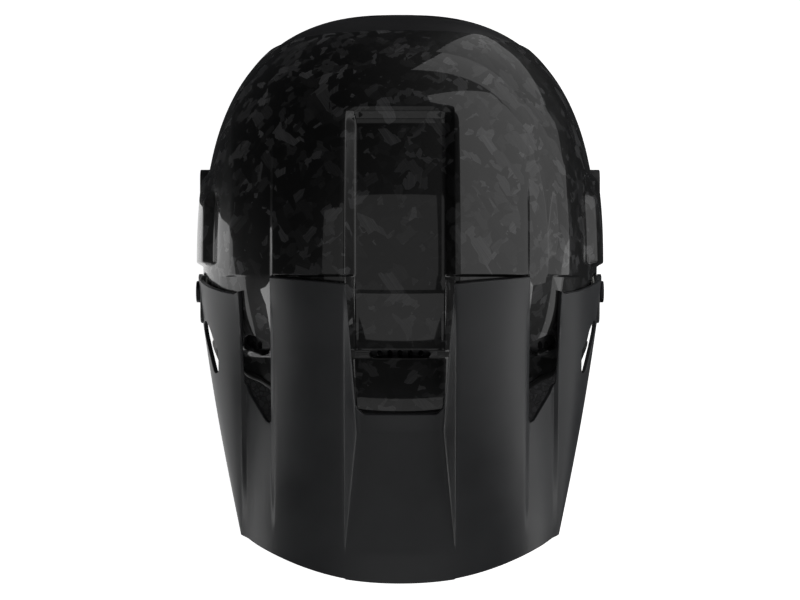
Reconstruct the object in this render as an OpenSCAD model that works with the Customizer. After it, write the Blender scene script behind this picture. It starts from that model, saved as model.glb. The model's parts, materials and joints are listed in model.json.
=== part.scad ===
// Full-face mountain bike helmet: forged carbon shell, tilting visor, foam liners, comfort pads
// and a ratchet chin strap. X is across, -Y is the way the rider looks, +Z is up. Millimetres.

/* [Shell] */
// Half width of the shell at the ears, without the side wings
shell_half_w = 121; // [117:1:125]
// Height of the plain crown above the table
crown_z = 252; // [246:1:258]
// Rearmost point of the shell, behind the crown's cross line
rear_y = 179; // [174:1:184]
// Foremost point of the chin bar, in front of the crown's cross line
chin_y = 152; // [148:1:158]
// Thickness of the carbon shell
shell_t = 3; // [2.4:0.2:3.6]
// How far the side wing stands out
wing_h = 4; // [2:0.5:5]
// How high the two crown ridges stand at the visor
ridge_h = 3; // [1.5:0.5:4]
// Half width over a crown ridge's outer edge
ridge_half_w = 74; // [70:1:78]
// Half width of the crown channel's floor
channel_half_w = 25.7; // [22:0.1:28]
// Depth of the crown channel
channel_depth = 9; // [5:0.5:11]
// How far the rear cover lies below the carbon
cover_drop = 1.2; // [0.8:0.2:2]

/* [Liners] */
// Half width of the head cavity
head_half_w = 88; // [84:1:91]
// Half length of the head cavity
head_half_l = 106; // [102:1:110]
// Thickness of shell and foam over the top of the head
crown_wall_t = 24; // [20:1:28]
// Thickness of shell and foam beside a cheek pad
cheek_wall_t = 28; // [26:0.5:30]
// Thickness of the chin bar's foam and shell together
chin_bar_t = 24; // [21:1:27]
// Thickness of the comfort pads
pad_t = 9; // [6:0.5:12]
// Thickness of a cheek pad
cheek_pad_t = 25; // [18:1:30]

/* [Visor] */
// Length of the visor in front of the crown's cross line
visor_front_y = 166; // [158:1:174]
// Thickness of the visor
visor_t = 2.6; // [2:0.2:3.2]
// How far the visor drops at the tip below its rear edge
visor_fall = 50; // [42:1:58]
// Height of the pivot screws
pivot_z = 155; // [150:1:160]
// How far the pivot screws sit behind the crown's cross line
pivot_y = 5; // [3:0.5:8]
// Radius of a pivot screw's shoulder
shoulder_r = 4; // [3:0.5:5]
// Radius of a pivot screw's head
screw_head_r = 6.5; // [6:0.5:8]
// Radius of a pivot screw's thread
thread_r = 2.5; // [2:0.25:3]

/* [Strap] */
// Width of the chin strap's webbing
strap_w = 21; // [18:1:24]
// Thickness of the chin strap's webbing
strap_t = 1.6; // [1.2:0.2:2]
// Radius of the buckle's hinge pin
pin_r = 1.5; // [1.2:0.1:1.8]
// Radius of a cheek pad's snap pin
snap_r = 2.5; // [2:0.1:3]

/* [Hidden] */

// Clearances: between nested curved faces, round a running pin and round a pressed piece
gap = 0.3;
run = 0.05;
fit = 0.2;

// Sides of the rounded cuts, and the radius that keeps their flats clear of a round piece
PIVOT_SIDES = 20;
ANCHOR_SIDES = 16;
PORT_SIDES = 16;
VENT_SIDES = 8;
EDGE_SIDES = 6;
MESH_SIDES = 4;
function bore(r, sides) = r / cos(180 / sides);

// The part's frame has its origin under the middle of its box
shift_y = -(rear_y - cover_drop - visor_front_y) / 2;

// Rule of the shell: superellipses across and along, between a rear and a chin pole
mid_y = 20;
crown_y = 15;
rear_pole_z = 85;
chin_pole_z = 60;
wide_mid_z = 110;
low_z = -60;
n_top = 2.4;
n_low = 2.2;
keep_rear_y = 112;
keep_front_y = -60;
crest_lift = 1.4;

// Stations along Y where features of the crown start and end
channel_start_y = 113;
ridge_start_y = 95;
joint_y = 14;
lip_y = -29;
brow_y = -34;
brow_drop = 8;
wing_front_y = 23;
wing_rear_y = 80;
rebate = 1.4;

function se(t, m) = pow(max(0, 1 - pow(max(0, t), m)), 1 / m);
function clamp01(t) = min(1, max(0, t));
function smooth(t) = let(c = clamp01(t)) c * c * (3 - 2 * c);
function mix(a, b, t) = a + (b - a) * t;
function rear_share(y) = (y - mid_y) / (rear_y - mid_y);
function front_share(y) = (mid_y - y) / (mid_y + chin_y);

// Half width, top, widest height and bottom of the shell's section at a station
function half_w(y) = shell_half_w * (y > mid_y ? se(rear_share(y), 2.6) : se(front_share(y), 1.85));
function top_z(y) = y > crown_y
    ? mix(rear_pole_z, crown_z, se((y - crown_y) / (rear_y - crown_y), 2.3))
    : mix(chin_pole_z, crown_z, se((crown_y - y) / (crown_y + chin_y), 1.45));
function wide_z(y) = y > mid_y
    ? mix(wide_mid_z, rear_pole_z, pow(clamp01(rear_share(y)), 2))
    : mix(wide_mid_z, chin_pole_z, pow(clamp01(front_share(y)), 2));
function bottom_z(y) = y > mid_y
    ? mix(rear_pole_z, low_z, se(rear_share(y), 2.6))
    : mix(chin_pole_z, low_z, se(front_share(y), 2.4));

// Point of the plain section at an angle from its top, and its two inverses
function section(y, a) = a <= 90
    ? [half_w(y) * pow(sin(a), 2 / n_top), y,
       mix(wide_z(y), top_z(y), pow(max(0, cos(a)), 2 / n_top))]
    : [half_w(y) * pow(max(0, sin(a)), 2 / n_low), y,
       mix(wide_z(y), bottom_z(y), pow(-cos(a), 2 / n_low))];
function surface_z(x, y) = mix(wide_z(y), top_z(y), se(x / half_w(y), n_top));
function surface_x(y, z) = z > wide_z(y)
    ? half_w(y) * se((z - wide_z(y)) / (top_z(y) - wide_z(y)), n_top)
    : half_w(y) * se((wide_z(y) - z) / (wide_z(y) - bottom_z(y)), n_low);

// Long lines of the shell, counted from the top centre down to the bottom centre
channel_wall_w = 5.9;
channel_top_x = channel_half_w + channel_wall_w;
TOP_X = [0, channel_half_w / 2, channel_half_w, channel_top_x,
         mix(channel_top_x, ridge_half_w, 0.5),
         ridge_half_w - 0.8, ridge_half_w + 0.8];
SIDE_SHARE = [0.18, 0.37, 0.45, 0.7, 1];
LOW_ANGLE = [103, 116, 130, 150, 180];
CREST = len(TOP_X) + 1;
GROOVE = CREST + 2;
WIDEST = CREST + len(SIDE_SHARE);
LAST = WIDEST + len(LOW_ANGLE);

function keep(y) = min(1, half_w(y) / half_w(y > mid_y ? keep_rear_y : keep_front_y));
function x_angle(x, y) = asin(pow(min(1, x * keep(y) / half_w(y)), n_top / 2));
function crest_angle(y) = asin(pow(mix(0.82, 0.97, smooth((y - 58) / 92)), n_top / 2));
function line_angle(y, k) =
    k < len(TOP_X) ? x_angle(TOP_X[k], y)
    : k < CREST ? mix(x_angle(TOP_X[len(TOP_X) - 1], y), crest_angle(y), (k - CREST + 2) / 2)
    : k == CREST ? crest_angle(y)
    : k <= WIDEST ? mix(crest_angle(y), 90, SIDE_SHARE[k - CREST - 1])
    : LOW_ANGLE[k - WIDEST - 1];

// Relief of the crown along Z and of the wings along X
function brow_step(y) = smooth((lip_y - y) / (lip_y - brow_y));
function channel_lift(y) = -channel_depth * smooth((channel_start_y - y) / 12)
    - (brow_drop - 1) * brow_step(y);
function ridge_lift(y) = y > joint_y
    ? ridge_h * clamp01((ridge_start_y - y) / (ridge_start_y - joint_y))
    : -rebate - (brow_drop - rebate) * brow_step(y);
function lift(y, k) = smooth((y + 110) / 40) * (
    k < 3 ? channel_lift(y)
    : k < 6 ? ridge_lift(y)
    : k < CREST ? -brow_drop * brow_step(y)
    : k == CREST ? (y > joint_y ? crest_lift : -rebate) : 0);
function wing_end(k) = k < GROOVE + 2 ? wing_rear_y - 12 : wing_rear_y;
function wing(y, k) = k < GROOVE || k > WIDEST + 2 ? 0
    : (k == GROOVE ? -1.5 : wing_h)
      * smooth((y - wing_front_y + 3) / 3) * smooth((wing_end(k) - y) / 9);
function shell_point(y, k) = section(y, line_angle(y, k)) + [wing(y, k), 0, lift(y, k)];

STATIONS = [
    rear_y - 1.6, rear_y - 7, rear_y - 16, rear_y - 30, rear_y - 46, channel_start_y, 100,
    wing_rear_y, wing_rear_y - 10, 46, wing_front_y, wing_front_y - 3, joint_y + 0.4,
    joint_y - 0.4, -8, lip_y, brow_y, -50, -68, -86, -110, 16 - chin_y, 7 - chin_y,
    1.6 - chin_y
];
RINGS = len(STATIONS);
AROUND = 2 * LAST;

function ring_k(j) = j <= LAST ? j : AROUND - j;
function ring_point(y, j) = let(p = shell_point(y, ring_k(j))) [j <= LAST ? p[0] : -p[0], p[1], p[2]];
REAR_POLE = [0, rear_y, rear_pole_z];
CHIN_POLE = [0, -chin_y, chin_pole_z];
GRID = [for (y = STATIONS) [for (j = [0:AROUND - 1]) ring_point(y, j)]];

function unit(v) = v / max(norm(v), 0.000001);
function grid_at(i, j) = i < 0 ? REAR_POLE : i >= RINGS ? CHIN_POLE : GRID[i][(j + AROUND) % AROUND];
function grid_normal(i, j) =
    unit(cross(grid_at(i + 1, j) - grid_at(i - 1, j), grid_at(i, j + 1) - grid_at(i, j - 1)));
NORMALS = [for (i = [0:RINGS - 1]) [for (j = [0:AROUND - 1]) grid_normal(i, j)]];

// Closed body whose skin lies a depth under the shell's outer face
module skin(depth) {
    points = concat(
        [for (i = [0:RINGS - 1]) for (j = [0:AROUND - 1]) GRID[i][j] - NORMALS[i][j] * depth],
        [REAR_POLE - [0, depth, 0], CHIN_POLE + [0, depth, 0]]
    );
    rear = RINGS * AROUND;
    side = [for (i = [0:RINGS - 2]) for (j = [0:AROUND - 1])
        let(n = (j + 1) % AROUND, a = i * AROUND + j, b = i * AROUND + n)
        each [[a, b, a + AROUND], [b, b + AROUND, a + AROUND]]];
    caps = [for (j = [0:AROUND - 1]) let(n = (j + 1) % AROUND, f = (RINGS - 1) * AROUND)
        each [[rear, n, j], [rear + 1, f + j, f + n]]];
    polyhedron(points, concat(side, caps), convexity = 6);
}

in_frame_shift = [0, shift_y, 0];

// Slab along X whose outline lies in the YZ plane
module across(half) {
    rotate([90, 0, 90])
        linear_extrude(2 * half, center = true)
            children();
}

// Height of the rim over the table: it arches up under the ears
rim_arch = 10;
trim_h = 4;
function rim_z(y) = rim_arch * smooth((y + 35) / 50) * smooth((110 - y) / 50);
RIM_Y = concat([-220], [for (y = [-35:12.5:15]) y], [for (y = [60:12.5:110]) y], [220]);
module below_rim(extra) {
    across(200)
        polygon(concat([for (y = RIM_Y) [y, rim_z(y) + extra]], [[230, -200], [-230, -200]]));
}

// Side view of the eyeport's edge, from the chin bar round the cheek to the brow
eye_edge_r = 3;
EYE_PATH = [
    [-230, 93], [-72, 97], [-48, 101], [-37, 111], [-31, 130], [-30, 150],
    [-33, 165], [-41, 176], [-54, 179.5], [-70, 182], [-230, 185]
];
module eyeport(grow) {
    across(200) {
        polygon(EYE_PATH);
        for (i = [0:len(EYE_PATH) - 2])
            hull() {
                translate(EYE_PATH[i])
                    circle(grow, $fn = EDGE_SIDES);
                translate(EYE_PATH[i + 1])
                    circle(grow, $fn = EDGE_SIDES);
            }
    }
}

// Rounded opening, driven through a wall along its own axis
through = 80;
module slot_cut(half, r, turn, depth = through, sides = VENT_SIDES) {
    rotate(turn)
        hull()
            for (end = [-1, 1])
                translate(end * half)
                    cylinder(r = r, h = depth, center = true, $fn = sides);
}

// Three mouth slots across the chin bar's front
mouth_z = 52;
mouth_r = 7;
mouth_pitch = 26;
mouth_half = [5, 0, 0];
module at_mouth() {
    for (col = [-1:1])
        translate([col * mouth_pitch, -chin_y, mouth_z])
            children();
}

module mouth_vents(grow) {
    at_mouth()
        slot_cut(mouth_half, mouth_r + grow, [90, 0, 0]);
}

// One raked opening in each side of the chin bar
chin_vent_at = [92, -85, 50];
chin_vent_turn = -30;
chin_vent_half = [-2, 12, 0];
chin_vent_r = 10;
module at_chin_vent(side) {
    translate([side * chin_vent_at[0], chin_vent_at[1], chin_vent_at[2]])
        rotate([0, 0, side * chin_vent_turn])
            children();
}

module chin_vent(side, grow) {
    at_chin_vent(side)
        slot_cut(chin_vent_half, chin_vent_r + grow, [0, 90, 0]);
}

// Air intakes above the brow: one in the channel, one beside each ridge
brow_vent_y = (lip_y + brow_y) / 2;
intake_half_w = 15;
intake_r = 2.6;
side_intake_x = ridge_half_w + 10;
side_intake_y = brow_vent_y + 5;
side_intake_z = surface_z(side_intake_x, side_intake_y) + 5;
side_intake_r = 4.6;
side_intake_half = [4, 0, 0];
side_intake_turn = 22;
intake_z = top_z(brow_y) - 12;
module brow_vents(grow) {
    translate([0, brow_vent_y, intake_z])
        slot_cut([intake_half_w, 0, 0], intake_r + grow, [0, 0, 0]);
    for (side = [-1, 1])
        translate([side * side_intake_x, side_intake_y, side_intake_z])
            slot_cut(side_intake_half, side_intake_r + grow, [0, 0, side * side_intake_turn], through / 2);
}

// Exhaust slots in the rear cover, an upper and a lower pair
exhaust_in_x = 24;
exhaust_step_x = 8;
exhaust_y = rear_y - 10;
exhaust_turn = 12;
exhaust_z = 128;
exhaust_pitch = 46;
exhaust_half = [9, 0, 0];
exhaust_r = 5;
module at_exhaust(lift = 0) {
    for (side = [-1, 1])
        for (row = [0, 1])
            translate([side * (exhaust_in_x + row * exhaust_step_x), exhaust_y,
                       exhaust_z - row * exhaust_pitch + lift])
                rotate([0, 0, side * exhaust_turn])
                    children();
}

module exhaust_vents(grow) {
    at_exhaust()
        slot_cut(exhaust_half, exhaust_r + grow, [90, 0, 0]);
}

// Oval port in each side wing
port_y = 70;
port_z = 110;
port_r = 6;
port_half = [0, 5, 0];
module port_hole(side, r, depth) {
    translate([side * shell_half_w, port_y, port_z])
        slot_cut(port_half, bore(r, PORT_SIDES), [0, 90, 0], depth, PORT_SIDES);
}

// Plane that parts the carbon from the rear cover
cover_top_y = 161;
cover_top_z = 174;
cover_lean = 0.145;
module behind_cover_plane(set_back) {
    across(200)
        polygon([
            [cover_top_y + set_back + cover_lean * (260 - cover_top_z), 260], [260, 260],
            [260, -20], [cover_top_y + set_back - cover_lean * (cover_top_z + 20), -20]
        ]);
}

// Pivot: everything along its axis is stacked outwards from the seat in the shell
pivot_x = surface_x(pivot_y, pivot_z);
seat_x = pivot_x - 1;
washer_t = 0.8;
ear_t = 3.2;
head_t = 2.7;
barrel_r = thread_r + 2.4;
flange_r = barrel_r + 3.6;
flange_t = 2;
nut_x = seat_x - shell_t - 3;
seat_r = screw_head_r + 4.5;
ear_x = seat_x + washer_t + run;
module on_pivot(side, from, length, r) {
    translate([side * from, pivot_y, pivot_z])
        rotate([0, side * 90, 0])
            cylinder(r = r, h = length, $fn = PIVOT_SIDES);
}

// Strap anchor rivets sit below the wings
anchor_y = 36;
anchor_z = 80;
rivet_r = 2.5;
rivet_head_r = 6;
rivet_head_t = 1.4;
rivet_sink = 1;
anchor_wall_x = surface_x(anchor_y, anchor_z) + wing_h;
module on_anchor(side, from, length, r) {
    translate([side * from, anchor_y, anchor_z])
        rotate([0, side * 90, 0])
            cylinder(r = r, h = length, $fn = ANCHOR_SIDES);
}

module outer_shell() {
    color([0.12, 0.12, 0.13])
        translate(in_frame_shift)
            difference() {
                skin(0);
                skin(shell_t);
                below_rim(trim_h);
                eyeport(eye_edge_r);
                behind_cover_plane(0);
                mouth_vents(0);
                brow_vents(0);
                for (side = [-1, 1]) {
                    chin_vent(side, 0);
                    port_hole(side, port_r, 40);
                    on_pivot(side, seat_x, 30, seat_r);
                    on_pivot(side, seat_x - 20, 40, bore(barrel_r + run, PIVOT_SIDES));
                    on_anchor(side, anchor_wall_x - 20, 40, bore(rivet_r + run, ANCHOR_SIDES));
                    on_anchor(side, anchor_wall_x - rivet_sink, 20, bore(rivet_head_r + fit, ANCHOR_SIDES));
                }
            }
}

module rear_cover() {
    color([0.16, 0.16, 0.17])
        translate(in_frame_shift)
            difference() {
                skin(cover_drop);
                skin(shell_t);
                below_rim(trim_h);
                exhaust_vents(0);
                difference() {
                    translate([0, 0, 100])
                        cube([500, 500, 500], center = true);
                    behind_cover_plane(fit);
                }
            }
}

// Split between the crown liner and the chin liner
split_z = 96;
split_y = 60;
head_y = 40;
head_z = 118;
head_dome_h = crown_z - crown_wall_t - head_z;
cheek_face_x = shell_half_w - cheek_wall_t;
cavity_sides = 28;
module head_cavity() {
    flats = pow(cos(180 / cavity_sides), -2);
    translate([0, head_y, head_z]) {
        scale([head_half_w, head_half_l, head_dome_h])
            sphere(r = flats, $fn = cavity_sides);
        scale([head_half_w, head_half_l, 1])
            translate([0, 0, -2 * through])
                cylinder(r = flats, h = 2 * through, $fn = cavity_sides);
    }
}

module liner_vents() {
    brow_vents(3);
    exhaust_vents(3);
    for (side = [-1, 1]) {
        port_hole(side, port_r + 1.5, 90);
        on_pivot(side, nut_x - 6, 40, bore(flange_r + 2 * gap, PIVOT_SIDES));
    }
}

module impact_liner() {
    color([0.2, 0.2, 0.21])
        translate(in_frame_shift)
            difference() {
                skin(shell_t + gap);
                head_cavity();
                below_rim(trim_h + 2);
                eyeport(eye_edge_r + 4);
                translate([-200, split_y - 300, split_z - 300])
                    cube([400, 300, 300]);
                liner_vents();
            }
}

// Inside of the chin bar in plan
function chin_inner_x(y) = min(cheek_face_x, half_w(y) - chin_bar_t);
CHIN_Y = [for (y = [75:-9:-chin_y + chin_bar_t]) y];
module chin_cavity() {
    translate([0, 0, -50])
        linear_extrude(200)
            polygon(concat(
                [for (y = CHIN_Y) [chin_inner_x(y), y]],
                [for (i = [len(CHIN_Y) - 1:-1:0]) [-chin_inner_x(CHIN_Y[i]), CHIN_Y[i]]]
            ));
}

module chin_liner() {
    color([0.2, 0.2, 0.21])
        translate(in_frame_shift)
            difference() {
                skin(shell_t + gap);
                chin_cavity();
                below_rim(trim_h + 2);
                translate([-200, -200, split_z - gap])
                    cube([400, 400, 300]);
                translate([-200, split_y - gap, -100])
                    cube([400, 300, 300]);
                eyeport(eye_edge_r + 2);
                mouth_vents(4);
                for (side = [-1, 1]) {
                    chin_vent(side, 4);
                    strap_pocket(side);
                    socket_holes(side, bore(socket_r + fit, ANCHOR_SIDES));
                }
            }
}

module strap_pocket(side) {
    pocket_w = strap_w + 5;
    translate([side * (cheek_face_x + 20), anchor_y, 70])
        cube([44, pocket_w, 52], center = true);
}

module eyeport_trim() {
    color([0.07, 0.07, 0.07])
        translate(in_frame_shift)
            difference() {
                skin(-0.8);
                skin(shell_t + 2.5);
                eyeport(0.5);
                difference() {
                    translate([0, 0, 100])
                        cube([500, 500, 500], center = true);
                    eyeport(eye_edge_r - fit);
                }
            }
}

// Bead round the rim: a loop of sections that follows the shell's lower edge
bead_in = 5;
bead_out = 0.8;
RIM_STEPS = 48;
rim_rear = mid_y + (rear_y - mid_y) * se((rear_pole_z - trim_h) / (rear_pole_z - low_z), 2.6);
rim_front = (mid_y + chin_y) * se((chin_pole_z - trim_h) / (chin_pole_z - low_z), 2.4) - mid_y;
function rim_plan(a) = [sin(a), mix(-rim_front, rim_rear, (1 + cos(a)) / 2)];
function rim_edge(a) = let(p = rim_plan(a), z = rim_z(p[1]) + trim_h)
    [sign(round(p[0] * 1000)) * surface_x(p[1], z), p[1], z];
function rim_at(n) = rim_edge(n * 360 / RIM_STEPS);
function rim_out(n) = let(t = rim_at(n + 1) - rim_at(n - 1)) unit([t[1], -t[0], 0]);
function bead_ring(n) = let(p = rim_at(n), o = -rim_out(n), z = rim_z(p[1]))
    [[p[0], p[1], z + trim_h - 2 * gap] + o * bead_out, [p[0], p[1], z + trim_h - 2 * gap] - o * bead_in,
     [p[0], p[1], z] - o * bead_in, [p[0], p[1], z] + o * (bead_out - 1)];
module neck_trim() {
    points = [for (n = [0:RIM_STEPS - 1]) each bead_ring(n)];
    faces = [for (n = [0:RIM_STEPS - 1]) for (c = [0:3])
        let(m = (n + 1) % RIM_STEPS, d = (c + 1) % 4)
        each [[n * 4 + c, m * 4 + c, n * 4 + d], [n * 4 + d, m * 4 + c, m * 4 + d]]];
    color([0.07, 0.07, 0.07])
        translate(in_frame_shift)
            polyhedron(points, faces, convexity = 6);
}

// Mesh panels: a skin of the shell's curve, kept to a vent's outline, with rows of holes
grille_t = 1.4;
grille_edge = 2.5;
mesh_r = 1.3;
module grille_skin() {
    difference() {
        skin(shell_t + 0.1);
        skin(shell_t + 0.1 + grille_t);
    }
}

module mouth_grille() {
    color([0.1, 0.1, 0.1])
        translate(in_frame_shift)
            difference() {
                intersection() {
                    grille_skin();
                    mouth_vents(grille_edge);
                }
                at_mouth()
                    for (row = [-1, 1])
                        translate([0, 0, row * 2.6])
                            slot_cut(mouth_half * 1.2, mesh_r, [90, 0, 0], through, MESH_SIDES);
            }
}

module chin_grille(side) {
    color([0.1, 0.1, 0.1])
        translate(in_frame_shift)
            difference() {
                intersection() {
                    grille_skin();
                    chin_vent(side, grille_edge);
                }
                at_chin_vent(side)
                    for (row = [-2:2])
                        for (end = [-1, 1])
                            translate([0, end * 8, row * 4.4 + end * 1.3])
                                slot_cut([0, 5, 0], mesh_r, [0, 90, 0], through, MESH_SIDES);
            }
}

brow_mesh_half = [0, 1.4, 0];
module brow_grille() {
    color([0.1, 0.1, 0.1])
        translate(in_frame_shift)
            difference() {
                intersection() {
                    grille_skin();
                    brow_vents(grille_edge - 0.5);
                }
                for (x = [-12:6:12])
                    translate([x, brow_vent_y, intake_z])
                        slot_cut(brow_mesh_half, mesh_r, [0, 0, 0], through, MESH_SIDES);
                for (side = [-1, 1])
                    for (step = [-2, 2])
                        translate([side * (side_intake_x + step), side_intake_y, intake_z])
                            slot_cut(brow_mesh_half, mesh_r, [0, 0, 0], 2 * through, MESH_SIDES);
            }
}

module exhaust_grille() {
    color([0.1, 0.1, 0.1])
        translate(in_frame_shift)
            difference() {
                intersection() {
                    grille_skin();
                    exhaust_vents(grille_edge - 0.5);
                }
                for (level = [-1, 1])
                    at_exhaust(level * 2.4)
                        slot_cut(exhaust_half, mesh_r, [90, 0, 0], through, MESH_SIDES);
            }
}

// Oval frame pressed into a side wing's port
port_frame_l = 9;
module side_port(side) {
    port_wall = surface_x(port_y, port_z) + wing_h;
    color([0.1, 0.1, 0.1])
        translate(in_frame_shift)
            translate([side * (port_wall - port_frame_l / 2 + 1), port_y, port_z])
                difference() {
                    slot_cut(port_half, port_r - fit, [0, 90, 0], port_frame_l, PORT_SIDES);
                    slot_cut(port_half, port_r - 2, [0, 90, 0], port_frame_l + 2, PORT_SIDES);
                }
}

module visor_nut(side) {
    color([0.6, 0.6, 0.62])
        translate(in_frame_shift)
            difference() {
                union() {
                    on_pivot(side, nut_x - flange_t, flange_t, flange_r);
                    on_pivot(side, nut_x, seat_x - nut_x, barrel_r);
                }
                on_pivot(side, nut_x - 10, 30, thread_r + run);
            }
}

module visor_washer(side) {
    color([0.85, 0.85, 0.82])
        translate(in_frame_shift)
            difference() {
                on_pivot(side, seat_x, washer_t, seat_r - 1.5);
                on_pivot(side, seat_x - 1, 5, shoulder_r + fit);
            }
}

module visor_screw(side) {
    socket_r_head = screw_head_r * 0.38;
    head_x = ear_x + ear_t + run;
    color([0.1, 0.1, 0.1])
        translate(in_frame_shift)
            difference() {
                union() {
                    on_pivot(side, nut_x - flange_t - 2, seat_x - nut_x + flange_t + 2.5, thread_r);
                    on_pivot(side, seat_x + run, head_x - seat_x, shoulder_r);
                    on_pivot(side, head_x, head_t, screw_head_r);
                }
                translate([side * (head_x + head_t - 1.6), pivot_y, pivot_z])
                    rotate([0, side * 90, 0])
                        cylinder(r = socket_r_head, h = 3, $fn = 6);
            }
}

// Visor: lines run from its rear edges to its tip
crest_x = shell_half_w - 24;
tip_corner_x = crest_x - 3;
tip_crest_x = tip_corner_x - 1;
tip_corner_back = 27;
tip_arch = 0.6;
strip_in_x = channel_top_x + 0.8;
bumper_w = 14;
bumper_out_x = ridge_half_w - bumper_w;
bumper_in_x = bumper_out_x - bumper_w;
STRIP_X = [strip_in_x, bumper_in_x, bumper_out_x, ridge_half_w - 0.8];
PANEL_X = [ridge_half_w + 1.2, ridge_half_w + 10];
SIDE_Q = [0.16, 0.32, 0.55, 0.78, 1];
ear_low_z = 143;
ear_front_y = 6;
joint_gap = 1;
crown_joint_z = top_z(joint_y);
visor_l = visor_front_y + joint_y;
side_l = visor_front_y - tip_corner_back + ear_front_y;
ear_reach = surface_x(pivot_y, ear_low_z) + visor_t + 3 * gap;
function visor_drop(y) = let(t = (joint_y - y) / visor_l) visor_fall * (0.76 * t + 0.24 * pow(t, 2));
function visor_crest_x(y) = mix(tip_crest_x, crest_x, pow(max(0, y + 50) / 55, 2));
function visor_arch(y) = mix(1, tip_arch, smooth((joint_y - y) / visor_l));
function visor_top(x, y) = crown_joint_z + ridge_h - visor_drop(y)
    - (crown_joint_z - surface_z(x * crest_x / visor_crest_x(y), joint_y)) * visor_arch(y);
tip_corner_z = visor_top(tip_crest_x, tip_corner_back - visor_front_y) - 1;
function side_share(y) = clamp01((ear_front_y - y) / side_l);
function visor_low_x(y) = mix(ear_reach, tip_corner_x, side_share(y)) + 1.6 * sin(180 * side_share(y));
function visor_low_z(y) = mix(ear_low_z, tip_corner_z, side_share(y));

// Centre recess: deepest and narrowest at its own corner, gone at the tip
recess_y = -76;
recess_half_w = 25;
recess_depth_max = 11;
function recess_rear(y) = clamp01((joint_y - 4 - y) / (joint_y - 4 - recess_y));
function recess_tip(y) = clamp01((recess_y - y) / 72);
function recess_x(y) = y > recess_y ? mix(strip_in_x - 1.4, recess_half_w, recess_rear(y))
    : mix(recess_half_w, strip_in_x - 0.4, recess_tip(y));
function recess_depth(y) = recess_depth_max * (y > recess_y ? recess_rear(y) : 1 - recess_tip(y));

// Outer panels lie lower than the strips between the crown's edge and the tip
panel_sink = 4;
function panel_depth(y) = panel_sink * smooth((4 - y) / 40) * (1 - clamp01((-60 - y) / 75));
function visor_point(x, y, sunk) = [x, y, visor_top(x, y) - sunk];
function visor_side(y, q) = [
    mix(visor_crest_x(y), visor_low_x(y), 1 - pow(1 - q, 2.1)), y,
    mix(visor_top(visor_crest_x(y), y), visor_low_z(y), q)
];
function visor_line(y, k) =
    k < 2 ? visor_point(k * recess_x(y), y, recess_depth(y))
    : k < 6 ? visor_point(STRIP_X[k - 2], y, 0)
    : k < 8 ? visor_point(PANEL_X[k - 6], y, panel_depth(y))
    : k < 10 ? visor_point(visor_crest_x(y) - 3 * (9 - k), y, panel_depth(y) * (9 - k))
    : visor_side(y, SIDE_Q[k - 10]);
VISOR_LAST = 14;
VISOR_REAR = [joint_y - 4, joint_y - 4, joint_y - 4, joint_y - 2.6, joint_y - 1.3, joint_y,
              joint_y, joint_y, 6, 4.6, 6, 8, 11, 14, 17];
function visor_tip(x) = -visor_front_y + tip_corner_back * pow(min(1, x / tip_corner_x), 2.1);
VISOR_X = concat([0, strip_in_x - 3], STRIP_X, PANEL_X, [tip_crest_x - 2, tip_crest_x],
                 [for (q = SIDE_Q) mix(tip_crest_x, tip_corner_x, sqrt(q))]);
VISOR_V = [0, 0.06, 0.13, 0.21, 0.34, 0.5, 0.6, 0.72, 0.86, 1];
function visor_station(k, v) = mix(VISOR_REAR[k] - joint_gap, visor_tip(VISOR_X[k]), v);
function visor_at(i, j) = let(k = abs(j - VISOR_LAST), p = visor_line(visor_station(k, VISOR_V[i]), k))
    [j < VISOR_LAST ? -p[0] : p[0], p[1], p[2]];
VISOR_COLS = 2 * VISOR_LAST + 1;
VISOR_ROWS = len(VISOR_V);
VISOR_GRID = [for (i = [0:VISOR_ROWS - 1]) [for (j = [0:VISOR_COLS - 1]) visor_at(i, j)]];
function visor_normal(i, j) = let(
    a = VISOR_GRID[max(0, i - 1)][j], b = VISOR_GRID[min(VISOR_ROWS - 1, i + 1)][j],
    c = VISOR_GRID[i][max(0, j - 1)], d = VISOR_GRID[i][min(VISOR_COLS - 1, j + 1)]
) unit(cross(d - c, a - b));
module visor_sheet() {
    top = [for (i = [0:VISOR_ROWS - 1]) for (j = [0:VISOR_COLS - 1]) VISOR_GRID[i][j]];
    under = [for (i = [0:VISOR_ROWS - 1]) for (j = [0:VISOR_COLS - 1])
        VISOR_GRID[i][j] - visor_normal(i, j) * visor_t];
    n = VISOR_ROWS * VISOR_COLS;
    quads = [for (i = [0:VISOR_ROWS - 2]) for (j = [0:VISOR_COLS - 2])
        let(a = i * VISOR_COLS + j, b = a + VISOR_COLS)
        each [[a, a + 1, b], [a + 1, b + 1, b], [n + a, n + b, n + a + 1], [n + a + 1, n + b, n + b + 1]]];
    ends = [for (j = [0:VISOR_COLS - 2]) let(b = (VISOR_ROWS - 1) * VISOR_COLS + j)
        each [[j, n + j, j + 1], [j + 1, n + j, n + j + 1], [b, b + 1, n + b], [b + 1, n + b + 1, n + b]]];
    sides = [for (i = [0:VISOR_ROWS - 2])
        let(a = i * VISOR_COLS, b = a + VISOR_COLS, c = a + VISOR_COLS - 1, d = b + VISOR_COLS - 1)
        each [[a, b, n + a], [b, n + b, n + a], [c, n + c, d], [d, n + c, n + d]]];
    polyhedron(concat(top, under), concat(quads, ends, sides), convexity = 8);
}

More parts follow.
